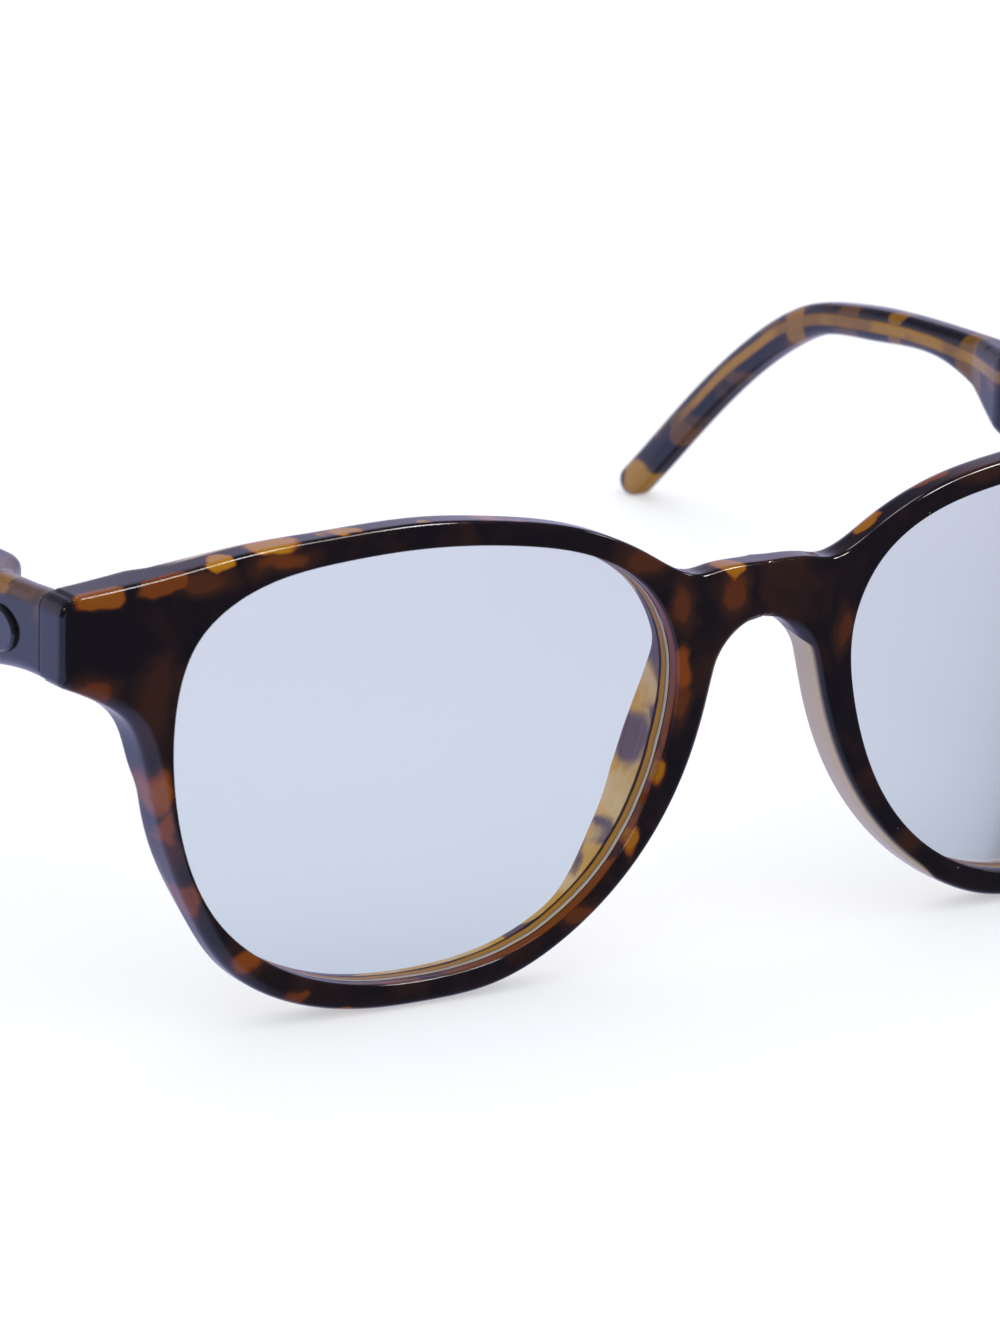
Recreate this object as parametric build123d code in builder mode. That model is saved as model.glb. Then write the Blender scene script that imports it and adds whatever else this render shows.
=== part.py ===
from build123d import *
import os

# Audio smart glasses: a plastic front with two lenses, and two folding arms whose deep front
# sections hold the electronics. Millimetres. The origin is the middle of the bridge on the
# front face, +X is the wearer's left, +Y runs back towards the ears and +Z is up.

os.makedirs("parts", exist_ok=True)

# ---- Driving dimensions ----------------------------------------------------------------

# Front
front_thickness = 4.0
front_half_width = 71.2
front_bow = 3.05            # how far the end of the front sits behind its middle
front_reach = 30.0          # taller than any part of the front, above and below the origin
end_corner_radius = 0.6
end_flat_start = 63.0       # where the flat seat for the hinge and the arm begins
eye_centre_x = 35.4
top_edge_radius = 0.4
curve_steps = 24            # points used to redraw a curve beside another

# Lenses and the groove that holds them
lens_thickness = 1.6
lens_setback = 1.3          # lens face behind the front face
lens_bite = 0.5             # how far the lens enters the rim
groove_clearance = 0.08

# Nose pads, moulded with the front
pad_height = 3.5
pad_splay = 3.1             # outward lean of the pad over its height

# Seam and hinge
seam_y = 7.0
seam_gap = 0.06
hinge_x = 66.9
hinge_y = 9.1
hinge_bottom = 10.9
hinge_height = 5.4
knuckle_count = 5
knuckle_gap = 0.06
knuckle_radius = 1.2
leaf_thickness = 0.8
leaf_plate_width = 3.2
screw_radius = 0.6
screw_clearance = 0.04
screw_head_radius = 1.0
screw_head_height = 0.45

# Arms
arm_outer_x = 71.2
arm_front_inner_x = 68.2
arm_deep_inner_x = 64.9
arm_slim_inner_x = 67.4
arm_edge_radius = 1.4
arm_end_y = 126.0
arm_widens_y = 17.5         # the arm starts to grow deeper
arm_deep_start_y = 22.0
arm_deep_end_y = 50.2
arm_slim_start_y = 57.5
arm_bend_radius = 4.0

# Compartment in the deep section of each arm
wall = 1.1
rim_inset = 1.3             # cover outline inside the arm outline
cavity_inset = 2.1          # cavity outline inside the arm outline
cover_thickness = 0.9
gasket_thickness = 0.3
cover_start_y = 23.5
cover_end_y = 49.5
cavity_start_y = 26.5
cavity_end_y = 46.5
cover_screw_inset = 1.7
cover_screw_radius = 0.5
cover_screw_head_radius = 0.9
fit_gap = 0.05

arm_leaf_length = 4.4
arm_leaf_mid_y = hinge_y - 0.7 + arm_leaf_length / 2
slot_width = 0.35
slot_depth = 0.25
cover_screw_front_z = 12.6
cover_screw_rear_z = 13.8
cover_screw_depth = 2.6
cover_screw_head_height = 0.4
hinge_middle = hinge_bottom + hinge_height / 2
leaf_mid_x = hinge_x + 0.85 - leaf_plate_width / 2
cover_back_x = arm_deep_inner_x + cover_thickness
recess_floor_x = cover_back_x + gasket_thickness
cavity_outer_x = arm_outer_x - wall

# Electronics
board_thickness = 0.6
board_x = recess_floor_x + 0.3
battery_size = (2.9, 7.0, 5.0)
battery_centre = (68.35, 37.1, 12.6)
battery_corner_radius = 0.6
speaker_size = (3.0, 5.3, 3.4)
speaker_centre = (68.4, 43.6, 13.5)
speaker_corner_radius = 0.8
diaphragm_share = 0.36      # half-size of the diaphragm surround, as a share of the speaker
diaphragm_rise = 0.2
microphone_size = (1.8, 2.8, 0.9)
microphone_centre = (68.2, 28.2, 10.3)
port_radius = 0.35
board_length = 6.4
board_height = 3.9
board_mid_y = 29.9
board_mid_z = 12.5
board_chip_z = 11.9
chip_size = (2.6, 1.7)
chip_thickness = 0.6
outlet_radius = 0.3
outlet_pitch = 1.0
outlet_columns = 4
outlet_rows = 2
mesh_length = 4.8
mesh_height = 2.6
mesh_pitch = 0.7
mesh_columns = 6
mesh_rows = 3
mesh_hole_radius = 0.2
lead_width = 1.4
lead_thickness = 0.2
lead_z = 12.0
lead_start_y = 33.4
lead_end_y = 40.8

# Buttons in the top edge
button_x = 68.4
button_y = 29.95
button_length = 5.0
rocker_length = 6.0
button_width = 1.5
button_top = 17.9
button_flange = 0.25
flange_thickness = 0.6
flange_top = 15.1
button_travel = 0.35
button_edge_radius = 0.25
rocker_dip_radius = 4.0
rocker_dip_depth = 0.2
switch_top = flange_top - flange_thickness - button_travel - 2 * fit_gap
switch_height = 0.8
switch_length = 2.0
switch_width = 2.4
switch_x = board_x + board_thickness + switch_width / 2
switch_spacing = 4.0
switch_dome_depth = 0.1

# Charging parts on the inner face of the right arm
contact_radius = 0.8
contact_spacing = 6.0
contact_y = 36.9
contact_z = 12.6
magnet_radius = 1.5
magnet_thickness = 0.75
contact_length = 1.5
light_radius = 0.5
light_y = 29.9

# Plain oval plaque on the outer face of each arm
plaque_y = 14.3
plaque_z = 13.3
plaque_length = 6.4
plaque_height = 4.1
plaque_recess = 0.3
plaque_proud = 0.45
plaque_bevel = 0.2
plaque_border = 0.7

# ---- Outlines --------------------------------------------------------------------------

# Eye opening, measured outward and up from the eye centre
eye_points = [
    (25.0, 0.0), (25.0, 6.8), (22.9, 13.2), (17.1, 17.3), (9.4, 18.8), (1.5, 19.2),
    (-9.0, 18.4), (-16.6, 16.6), (-22.4, 12.9), (-25.4, 6.8), (-25.0, 0.0), (-19.9, -11.5),
    (-10.7, -18.5), (0.0, -20.4), (11.1, -18.9), (20.8, -12.2),
]

# Top of the front, from the middle of the bridge out to the end piece
top_points = [
    (0.0, 14.2), (5.4, 14.0), (7.2, 13.75), (9.2, 14.2), (13.1, 16.3), (20.8, 19.5),
    (28.5, 20.9), (35.0, 21.5), (45.3, 21.2), (52.7, 20.6), (60.3, 19.4), (67.7, 18.4),
    (74.0, 17.8),
]

# Underside of the front, from the end piece round the rim to the top of the nose gap
under_points = [
    (74.0, 11.7), (67.8, 8.9), (64.4, 6.4), (62.9, 2.6), (60.8, -5.7), (58.5, -11.4),
    (55.1, -16.8), (48.5, -21.0), (40.4, -22.7), (35.1, -22.8), (28.1, -22.2), (21.1, -19.3),
    (12.9, -12.4), (8.3, -5.2), (6.1, 1.0), (5.2, 4.6),
]
nose_side_slope = (-0.27, 1.0)
arch_top = (0.0, 8.9)

# Nasal side of the nose pad where it leaves the rim
pad_points = [(4.6, 8.0), (5.3, 4.0), (6.2, 1.0), (8.6, -5.2), (13.2, -12.4), (18.5, -17.0)]

# Side view of an arm, in Y and Z, along the top and then along the underside
arm_top_points = [
    (seam_y + seam_gap, 18.0), (12.0, 17.7), (20.0, 17.5), (35.0, 17.6), (56.0, 18.2), (66.0, 18.4),
    (76.6, 18.15), (83.0, 17.5), (88.1, 16.6), (92.3, 15.0), (99.8, 10.6), (111.5, 1.55),
    (119.2, -5.3), (123.8, -9.3),
]
arm_tip = (124.0, -11.9)
arm_under_points = [
    (121.4, -12.1), (116.8, -8.1), (109.1, -1.25), (97.8, 7.5), (90.5, 11.7), (87.1, 13.1),
    (76.4, 14.45), (69.0, 15.0), (63.5, 14.6), (57.5, 12.6), (51.0, 9.8), (43.0, 7.7),
    (33.0, 6.9), (24.0, 7.9), (15.0, 9.55), (seam_y + seam_gap, 10.1),
]

# Centre line of the core wire, in Y and Z
wire_points = [
    (56.5, 16.0), (66.0, 16.6), (76.5, 16.3), (87.6, 14.85), (98.8, 9.05), (110.3, 0.15),
    (118.0, -6.7),
]
wire_radius = 0.6
wire_clearance = 0.05


# ---- Shared shapes ---------------------------------------------------------------------

def bowed_slab(near_depth, far_depth):
    """A tall slab that follows the bow of the front between two depths behind its face."""
    near_end = near_depth + front_bow
    far_end = far_depth + front_bow
    half = front_half_width
    with BuildPart() as slab:
        with BuildSketch(Plane.XY.offset(-front_reach)):
            with BuildLine():
                near = ThreePointArc((-half, near_end), (0, near_depth), (half, near_end))
                far = ThreePointArc((-half, far_end), (0, far_depth), (half, far_end))
                Line(near @ 0, far @ 0)
                Line(near @ 1, far @ 1)
            make_face()
        extrude(amount=2 * front_reach)
    return slab.part


def points_beside(curve, distance, first, last):
    """Evenly spread points along part of a curve, a set distance to its right."""
    points = []
    for index in range(curve_steps + 1):
        along = first + (last - first) * index / curve_steps
        heading = curve % along
        points.append(curve @ along + Vector(heading.Y, -heading.X) * distance)
    return points


def eye_shape(grow):
    """The left eye's outline on the front plane, grown all round."""
    with BuildSketch(Plane.XZ) as eye:
        with BuildLine():
            corners = [(eye_centre_x + x, z) for x, z in eye_points]
            opening = Spline(*corners, periodic=True, mode=Mode.PRIVATE)
            Spline(*points_beside(opening, grow, 0, 1)[:-1], periodic=True)
        make_face()
    return eye.sketch


def arm_outline(x):
    """Side view of a whole arm at one X."""
    with BuildSketch(Plane.YZ.offset(x)) as outline:
        with BuildLine():
            top = Spline(*arm_top_points)
            ThreePointArc(top @ 1, arm_tip, arm_under_points[0])
            under = Spline(*arm_under_points)
            Line(under @ 1, top @ 0)
        make_face()
    return outline.sketch


def inner_outline(x, inset, start_y, end_y):
    """A stretch of the arm's side view at one X, drawn in from its top and bottom edges."""
    with BuildSketch(Plane.YZ.offset(x)) as outline:
        with BuildLine():
            arm_top = Spline(*arm_top_points, mode=Mode.PRIVATE)
            arm_under = Spline(*arm_under_points, mode=Mode.PRIVATE)
            top = Spline(*points_beside(arm_top, inset, 0, 0.6))
            under = Spline(*points_beside(arm_under, inset, 0.4, 1))
            Line(top @ 1, under @ 0)
            Line(under @ 1, top @ 0)
        make_face()
        with Locations(((start_y + end_y) / 2, 0)):
            Rectangle(end_y - start_y, 4 * front_reach, mode=Mode.INTERSECT)
    return outline.sketch


def wire_shape(radius, path_points):
    """A round wire along a path in the middle of the arm's slim section."""
    middle_x = (arm_outer_x + arm_slim_inner_x) / 2
    with BuildPart() as wire:
        with BuildLine(Plane.YZ.offset(middle_x)) as path:
            Spline(*path_points)
        with BuildSketch(Plane(origin=path.line @ 0, z_dir=path.line % 0)):
            Circle(radius)
        sweep()
    return wire.part


def knuckle_span(index):
    """Lowest and highest Z of one hinge knuckle."""
    pitch = hinge_height / knuckle_count
    low = hinge_bottom + index * pitch + knuckle_gap / 2
    return low, low + pitch - knuckle_gap


def at_front_corner(edge):
    """A vertical edge where the face of the front meets an end."""
    return edge.center().Y < seam_y - 1


def on_top_edge(edge):
    """An edge between the face of the front and its top, out to the seams."""
    spot = edge.center()
    along_face = spot.Y < 1.5
    along_end = abs(spot.X) > front_half_width - 1 and spot.Y < seam_y - 0.1
    return spot.Z > 15 and edge.geom_type != GeomType.LINE and (along_face or along_end)


# ---- Lenses ----------------------------------------------------------------------------

left_eye = eye_shape(0)
eyes = [left_eye, mirror(left_eye, about=Plane.YZ)]

with BuildPart() as lens_left:
    extrude(eye_shape(lens_bite - groove_clearance), amount=-3 * front_thickness)
    add(bowed_slab(lens_setback, lens_setback + lens_thickness), mode=Mode.INTERSECT)
lens_left.part.label = "lens_left"

with BuildPart() as groove:
    extrude(eye_shape(lens_bite), amount=-3 * front_thickness)
    groove_front = lens_setback - groove_clearance
    groove_back = lens_setback + lens_thickness + groove_clearance
    add(bowed_slab(groove_front, groove_back), mode=Mode.INTERSECT)
left_groove = groove.part
right_groove = mirror(left_groove, about=Plane.YZ)

# ---- Nose pads -------------------------------------------------------------------------

with BuildPart() as pad:
    # A ridge behind the nasal side of the rim that leans outward as it rises
    pad_root = front_thickness - 1.0
    for depth, lean in ((pad_root, 0.0), (pad_root + pad_height + 1.0, pad_splay)):
        with BuildSketch(Plane.XZ.offset(-depth)):
            with BuildLine():
                nasal = Spline(*[(x + lean, z) for x, z in pad_points])
                Polyline(nasal @ 1, (30.0, pad_points[-1][1]), (30.0, pad_points[0][1]), nasal @ 0)
            make_face()
    loft()
    # The crest rises from the rim, is highest beside the bridge and falls away below
    with BuildSketch(Plane.YZ):
        with BuildLine():
            foot = (front_thickness - 0.5, pad_points[0][1])
            heel = (front_thickness - 0.5, pad_points[-1][1])
            Spline(foot, (front_thickness + pad_height, -1.0), heel)
            Line(heel, foot)
        make_face()
    extrude(amount=30.0, mode=Mode.INTERSECT)
    extrude(eye_shape(0), amount=-5 * front_thickness, mode=Mode.SUBTRACT)
    # Keep only the ridge beside the nose
    with BuildSketch(Plane.XZ):
        with Locations((eye_centre_x / 2 - 4, -5)):
            Rectangle(eye_centre_x - 8, 2 * front_reach)
    extrude(amount=-5 * front_thickness, mode=Mode.INTERSECT)
left_pad = pad.part
right_pad = mirror(left_pad, about=Plane.YZ)

# ---- Front -----------------------------------------------------------------------------

with BuildPart() as front_frame:
    # Outline of the front, pushed back far enough to be cut to its bow
    with BuildSketch(Plane.XZ):
        with BuildLine():
            top_line = Spline(*top_points, tangents=[(1, 0), (1, -0.08)])
            under_line = Spline(*under_points, tangents=[(-1, -0.45), nose_side_slope])
            Spline(under_line @ 1, arch_top, tangents=[nose_side_slope, (-1, 0)])
            Line(top_line @ 1, under_line @ 0)
            mirror(about=Plane.YZ)
        make_face()
    extrude(amount=-3 * front_thickness)
    # Seen from above: a bowed face, rounded end corners and flat seats for the arms
    with BuildSketch(Plane.XY.offset(-front_reach)):
        with BuildLine():
            face_end = (front_half_width, front_bow)
            face_start = (-front_half_width, front_bow)
            ThreePointArc(face_start, (0, 0), face_end)
            back_end = (end_flat_start - 2.0, front_thickness + 2.3)
            back_start = (-end_flat_start + 2.0, front_thickness + 2.3)
            ThreePointArc(back_start, (0, front_thickness), back_end)
            Polyline(face_end, (front_half_width, seam_y), (end_flat_start, seam_y), back_end)
            Polyline(face_start, (-front_half_width, seam_y), (-end_flat_start, seam_y), back_start)
        make_face()
    extrude(amount=2 * front_reach, mode=Mode.INTERSECT)
    # Round the vertical corners and the top edge
    end_corners = front_frame.edges().filter_by(Axis.Z).filter_by(at_front_corner)
    fillet(end_corners, radius=end_corner_radius)
    fillet(front_frame.edges().filter_by(on_top_edge), radius=top_edge_radius)
    for eye in eyes:
        extrude(eye, amount=-3 * front_thickness, mode=Mode.SUBTRACT)
    # Nose pads, joined to the back of the rims
    for pad in (left_pad, right_pad):
        add(pad)
    # Groove for each lens
    add(left_groove, mode=Mode.SUBTRACT)
    add(right_groove, mode=Mode.SUBTRACT)
    # Pockets that hold the front leaves of the hinges
    with BuildSketch(Plane.XZ.offset(-seam_y)):
        with Locations((leaf_mid_x, hinge_middle), (-leaf_mid_x, hinge_middle)):
            Rectangle(leaf_plate_width, hinge_height)
    extrude(amount=leaf_thickness, mode=Mode.SUBTRACT)
front_frame.part.label = "front_frame"
export_step(front_frame.part, "parts/front_frame.step")
export_step(lens_left.part, "parts/lens_left.step")

# ---- Left hinge ------------------------------------------------------------------------

with BuildPart() as hinge_front_leaf_left:
    # Plate let into the back of the front
    with BuildSketch(Plane.XZ.offset(-seam_y)):
        with Locations((leaf_mid_x, hinge_middle)):
            Rectangle(leaf_plate_width - 2 * fit_gap, hinge_height - 2 * fit_gap)
    extrude(amount=leaf_thickness - fit_gap)
    # Every second knuckle, with a web back to the plate
    for index in range(0, knuckle_count, 2):
        low, high = knuckle_span(index)
        with BuildSketch(Plane.XY.offset(low)):
            with Locations((hinge_x, hinge_y)):
                Circle(knuckle_radius)
            with Locations((hinge_x - knuckle_radius / 2, (seam_y + hinge_y) / 2)):
                Rectangle(knuckle_radius, hinge_y - seam_y + 0.2)
        extrude(amount=high - low)
    with Locations((hinge_x, hinge_y, hinge_middle)):
        Cylinder(screw_radius + screw_clearance, 2 * hinge_height, mode=Mode.SUBTRACT)
hinge_front_leaf_left.part.label = "hinge_front_leaf_left"
export_step(hinge_front_leaf_left.part, "parts/hinge_front_leaf_left.step")

with BuildPart() as hinge_arm_leaf_left:
    # Plate let into the inner face of the arm
    with BuildSketch(Plane.YZ.offset(arm_front_inner_x)):
        with Locations((arm_leaf_mid_y, hinge_middle)):
            Rectangle(arm_leaf_length - 2 * fit_gap, hinge_height - 2 * fit_gap)
    extrude(amount=leaf_thickness - fit_gap)
    # The knuckles between those of the other leaf
    for index in range(1, knuckle_count, 2):
        low, high = knuckle_span(index)
        with BuildSketch(Plane.XY.offset(low)):
            with Locations((hinge_x, hinge_y)):
                Circle(knuckle_radius)
            with Locations(((hinge_x + arm_front_inner_x + 0.2) / 2, hinge_y + knuckle_radius / 2)):
                Rectangle(arm_front_inner_x - hinge_x + 0.2, knuckle_radius)
        extrude(amount=high - low)
    with Locations((hinge_x, hinge_y, hinge_middle)):
        Cylinder(screw_radius + screw_clearance, 2 * hinge_height, mode=Mode.SUBTRACT)
hinge_arm_leaf_left.part.label = "hinge_arm_leaf_left"
export_step(hinge_arm_leaf_left.part, "parts/hinge_arm_leaf_left.step")

with BuildPart() as hinge_screw_left:
    with BuildSketch(Plane.XY.offset(hinge_bottom)):
        with Locations((hinge_x, hinge_y)):
            Circle(screw_radius)
    extrude(amount=hinge_height + fit_gap)
    with BuildSketch(Plane.XY.offset(hinge_bottom + hinge_height + fit_gap)):
        with Locations((hinge_x, hinge_y)):
            Circle(screw_head_radius)
    extrude(amount=screw_head_height)
    # Driver slot
    with BuildSketch(Plane.XY.offset(hinge_bottom + hinge_height + fit_gap + screw_head_height)):
        with Locations((hinge_x, hinge_y)):
            Rectangle(2 * screw_head_radius, slot_width, rotation=30)
    extrude(amount=-slot_depth, mode=Mode.SUBTRACT)
hinge_screw_left.part.label = "hinge_screw_left"
export_step(hinge_screw_left.part, "parts/hinge_screw_left.step")

# ---- Left arm housing ------------------------------------------------------------------

cover_screw_places = [
    (cover_start_y + cover_screw_inset, cover_screw_front_z),
    (cover_end_y - cover_screw_inset, cover_screw_rear_z),
]

with BuildPart() as arm_blank:
    extrude(arm_outline(arm_deep_inner_x), amount=arm_outer_x - arm_deep_inner_x)
    # Seen from above: slim at the hinge, deep over the compartment and slim again behind it
    with BuildSketch(Plane.XY.offset(-front_reach)) as plan:
        with BuildLine():
            Polyline(
                (arm_outer_x, 0),
                (arm_front_inner_x, 0),
                (arm_front_inner_x, arm_widens_y),
                (arm_deep_inner_x, arm_deep_start_y),
                (arm_deep_inner_x, arm_deep_end_y),
                (arm_slim_inner_x, arm_slim_start_y),
                (arm_slim_inner_x, arm_end_y),
                (arm_outer_x, arm_end_y),
                close=True,
            )
        make_face()
        bends = plan.vertices().filter_by(lambda v: 12 < v.Y < 70 and v.X < arm_outer_x - 1)
        fillet(bends, radius=arm_bend_radius)
    extrude(amount=2 * front_reach, mode=Mode.INTERSECT)
    long_edges = arm_blank.edges().filter_by(lambda e: e.center().Y > seam_y + 1)
    fillet(long_edges, radius=arm_edge_radius)

with BuildPart() as arm_housing_left:
    add(arm_blank.part)
    # Recess for the gasket and cover, then the compartment behind it
    recess_inset = rim_inset - fit_gap
    recess = inner_outline(
        recess_floor_x, recess_inset, cover_start_y - fit_gap, cover_end_y + fit_gap
    )
    extrude(recess, amount=-2 * cover_thickness, mode=Mode.SUBTRACT)
    cavity = inner_outline(recess_floor_x, cavity_inset, cavity_start_y, cavity_end_y)
    extrude(cavity, amount=cavity_outer_x - recess_floor_x, mode=Mode.SUBTRACT)
    # Pocket for the hinge leaf
    with BuildSketch(Plane.YZ.offset(arm_front_inner_x)):
        with Locations((arm_leaf_mid_y, hinge_middle)):
            Rectangle(arm_leaf_length, hinge_height)
    extrude(amount=leaf_thickness, mode=Mode.SUBTRACT)
    # Screw holes for the cover
    with BuildSketch(Plane.YZ.offset(recess_floor_x)):
        with Locations(*cover_screw_places):
            Circle(cover_screw_radius + fit_gap)
    extrude(amount=cover_screw_depth, mode=Mode.SUBTRACT)
    # Channel for the core wire
    add(wire_shape(wire_radius + wire_clearance, wire_points), mode=Mode.SUBTRACT)
    # Oval recess for the plaque
    with BuildSketch(Plane.YZ.offset(arm_outer_x)):
        with Locations((plaque_y, plaque_z)):
            Ellipse(plaque_length / 2 + fit_gap, plaque_height / 2 + fit_gap)
    extrude(amount=-plaque_recess, mode=Mode.SUBTRACT)
    # Microphone port through the underside
    with BuildSketch(Plane.XY.offset(microphone_centre[2])):
        with Locations(microphone_centre[:2]):
            Circle(port_radius)
    extrude(amount=-6.0, mode=Mode.SUBTRACT)
plain_housing = arm_housing_left.part

with BuildPart() as arm_cover_left:
    outline = inner_outline(arm_deep_inner_x, rim_inset, cover_start_y, cover_end_y)
    extrude(outline, amount=cover_thickness - fit_gap)
    # Countersunk screw holes
    with Locations(*[(cover_back_x, y, z) for y, z in cover_screw_places]):
        Cylinder(cover_screw_radius + fit_gap, 4 * cover_thickness, rotation=(0, 90, 0), mode=Mode.SUBTRACT)
    with Locations(*[(arm_deep_inner_x, y, z) for y, z in cover_screw_places]):
        Cylinder(
            cover_screw_head_radius + fit_gap,
            2 * (cover_screw_head_height + fit_gap),
            rotation=(0, 90, 0),
            mode=Mode.SUBTRACT,
        )
    # Sound outlet over the speaker
    with BuildSketch(Plane.YZ.offset(arm_deep_inner_x - 1)):
        with Locations(speaker_centre[1:]):
            with GridLocations(outlet_pitch, outlet_pitch, outlet_columns, outlet_rows):
                Circle(outlet_radius)
    extrude(amount=2 * cover_thickness + 1, mode=Mode.SUBTRACT)
plain_cover = arm_cover_left.part
arm_cover_left.part.label = "arm_cover_left"
export_step(arm_cover_left.part, "parts/arm_cover_left.step")

with BuildPart() as cover_gasket_left:
    extrude(inner_outline(cover_back_x, rim_inset, cover_start_y, cover_end_y), amount=gasket_thickness)
    inner = inner_outline(cover_back_x, cavity_inset - fit_gap, cavity_start_y, cavity_end_y)
    extrude(inner, amount=gasket_thickness, mode=Mode.SUBTRACT)
    with Locations(*[(cover_back_x, y, z) for y, z in cover_screw_places]):
        Cylinder(cover_screw_radius + fit_gap, 4 * cover_thickness, rotation=(0, 90, 0), mode=Mode.SUBTRACT)
cover_gasket_left.part.label = "cover_gasket_left"
export_step(cover_gasket_left.part, "parts/cover_gasket_left.step")

with BuildPart() as cover_screws_left:
    for y, z in cover_screw_places:
        with BuildSketch(Plane.YZ.offset(arm_deep_inner_x + fit_gap)):
            with Locations((y, z)):
                Circle(cover_screw_head_radius)
        extrude(amount=cover_screw_head_height - fit_gap)
        with BuildSketch(Plane.YZ.offset(arm_deep_inner_x + fit_gap)):
            with Locations((y, z)):
                Circle(cover_screw_radius)
        extrude(amount=cover_thickness + gasket_thickness + cover_screw_depth - 3 * fit_gap)
        # Cross recess
        with BuildSketch(Plane.YZ.offset(arm_deep_inner_x + fit_gap)):
            with Locations((y, z)):
                Rectangle(2 * cover_screw_radius, slot_width / 2)
                Rectangle(slot_width / 2, 2 * cover_screw_radius)
        extrude(amount=slot_depth, mode=Mode.SUBTRACT)
cover_screws_left.part.label = "cover_screws_left"
export_step(cover_screws_left.part, "parts/cover_screws_left.step")

with BuildPart() as core_wire_left:
    add(wire_shape(wire_radius, wire_points))
core_wire_left.part.label = "core_wire_left"
export_step(core_wire_left.part, "parts/core_wire_left.step")

with BuildPart() as plaque_left:
    with BuildSketch(Plane.YZ.offset(arm_outer_x - plaque_recess)):
        with Locations((plaque_y, plaque_z)):
            Ellipse(plaque_length / 2, plaque_height / 2)
    extrude(amount=plaque_recess + plaque_proud)
    chamfer(plaque_left.faces().sort_by(Axis.X)[-1].edges(), length=plaque_bevel)
    # Sunk centre that leaves a raised border
    with BuildSketch(Plane.YZ.offset(arm_outer_x + plaque_proud)):
        with Locations((plaque_y, plaque_z)):
            Ellipse(plaque_length / 2 - plaque_border, plaque_height / 2 - plaque_border)
    extrude(amount=-plaque_bevel / 2, mode=Mode.SUBTRACT)
plaque_left.part.label = "plaque_left"
export_step(plaque_left.part, "parts/plaque_left.step")

# ---- Left arm electronics --------------------------------------------------------------

with BuildPart() as battery_left:
    with Locations(battery_centre):
        Box(*battery_size)
    fillet(battery_left.edges().filter_by(Axis.Z), radius=battery_corner_radius)
battery_left.part.label = "battery_left"
export_step(battery_left.part, "parts/battery_left.step")

with BuildPart() as circuit_board_left:
    with BuildSketch(Plane.YZ.offset(board_x)):
        with Locations((board_mid_y, board_mid_z)):
            Rectangle(board_length, board_height)
    extrude(amount=board_thickness)
    # Radio chip and power chip on its outer side
    with BuildSketch(Plane.YZ.offset(board_x + board_thickness)):
        with Locations((board_mid_y - board_length / 4, board_chip_z)):
            Rectangle(*chip_size)
        with Locations((board_mid_y + board_length / 4, board_chip_z)):
            Rectangle(chip_size[0] * 0.8, chip_size[1])
    extrude(amount=chip_thickness)
circuit_board_left.part.label = "circuit_board_left"
export_step(circuit_board_left.part, "parts/circuit_board_left.step")

with BuildPart() as speaker_left:
    with Locations(speaker_centre):
        Box(*speaker_size)
    fillet(speaker_left.edges().filter_by(Axis.X), radius=speaker_corner_radius)
    # Raised diaphragm surround facing the outlet
    with BuildSketch(Plane.YZ.offset(speaker_centre[0] - speaker_size[0] / 2)):
        with Locations(speaker_centre[1:]):
            Ellipse(speaker_size[1] * diaphragm_share, speaker_size[2] * diaphragm_share)
    extrude(amount=-diaphragm_rise)
speaker_left.part.label = "speaker_left"
export_step(speaker_left.part, "parts/speaker_left.step")

with BuildPart() as speaker_mesh_left:
    with BuildSketch(Plane.YZ.offset(cover_back_x)):
        with Locations(speaker_centre[1:]):
            RectangleRounded(mesh_length, mesh_height, mesh_height / 3)
            with GridLocations(mesh_pitch, mesh_pitch, mesh_columns, mesh_rows):
                Circle(mesh_hole_radius, mode=Mode.SUBTRACT)
    extrude(amount=gasket_thickness / 2)
speaker_mesh_left.part.label = "speaker_mesh_left"
export_step(speaker_mesh_left.part, "parts/speaker_mesh_left.step")

with BuildPart() as microphone_left:
    with Locations(microphone_centre):
        Box(*microphone_size)
    with Locations(microphone_centre):
        Cylinder(port_radius, 2 * microphone_size[2], mode=Mode.SUBTRACT)
microphone_left.part.label = "microphone_left"
export_step(microphone_left.part, "parts/microphone_left.step")

with BuildPart() as speaker_lead_left:
    # Flat cable from the board, round the outside of the battery, to the speaker
    with BuildSketch(Plane.XY.offset(lead_z)):
        with BuildLine():
            board_side = board_x + board_thickness + fit_gap
            outer_side = cavity_outer_x - 2 * fit_gap
            Polyline(
                (board_side, lead_start_y),
                (outer_side, lead_start_y),
                (outer_side, lead_end_y),
                (speaker_centre[0], lead_end_y),
            )
        trace(line_width=lead_thickness)
    extrude(amount=lead_width)
speaker_lead_left.part.label = "speaker_lead_left"
export_step(speaker_lead_left.part, "parts/speaker_lead_left.step")

# ---- Right side: mirror images ---------------------------------------------------------

same_on_both_sides = [
    lens_left, hinge_front_leaf_left, hinge_arm_leaf_left, hinge_screw_left, cover_gasket_left,
    cover_screws_left, core_wire_left, plaque_left, battery_left, circuit_board_left, speaker_left,
    speaker_mesh_left, microphone_left, speaker_lead_left,
]
for left in same_on_both_sides:
    name = left.part.label.replace("_left", "_right")
    with BuildPart() as right:
        mirror(left.part, about=Plane.YZ)
    right.part.label = name
    export_step(right.part, f"parts/{name}.step")

# ---- Buttons ---------------------------------------------------------------------------


def button_slot(x, length):
    """A slot down through the top wall of an arm."""
    with BuildPart() as slot:
        with BuildSketch(Plane.XY.offset(flange_top)):
            with Locations((x, button_y)):
                SlotOverall(length + 4 * fit_gap, button_width + 4 * fit_gap, rotation=90)
        extrude(amount=front_reach)
    return slot.part


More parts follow.
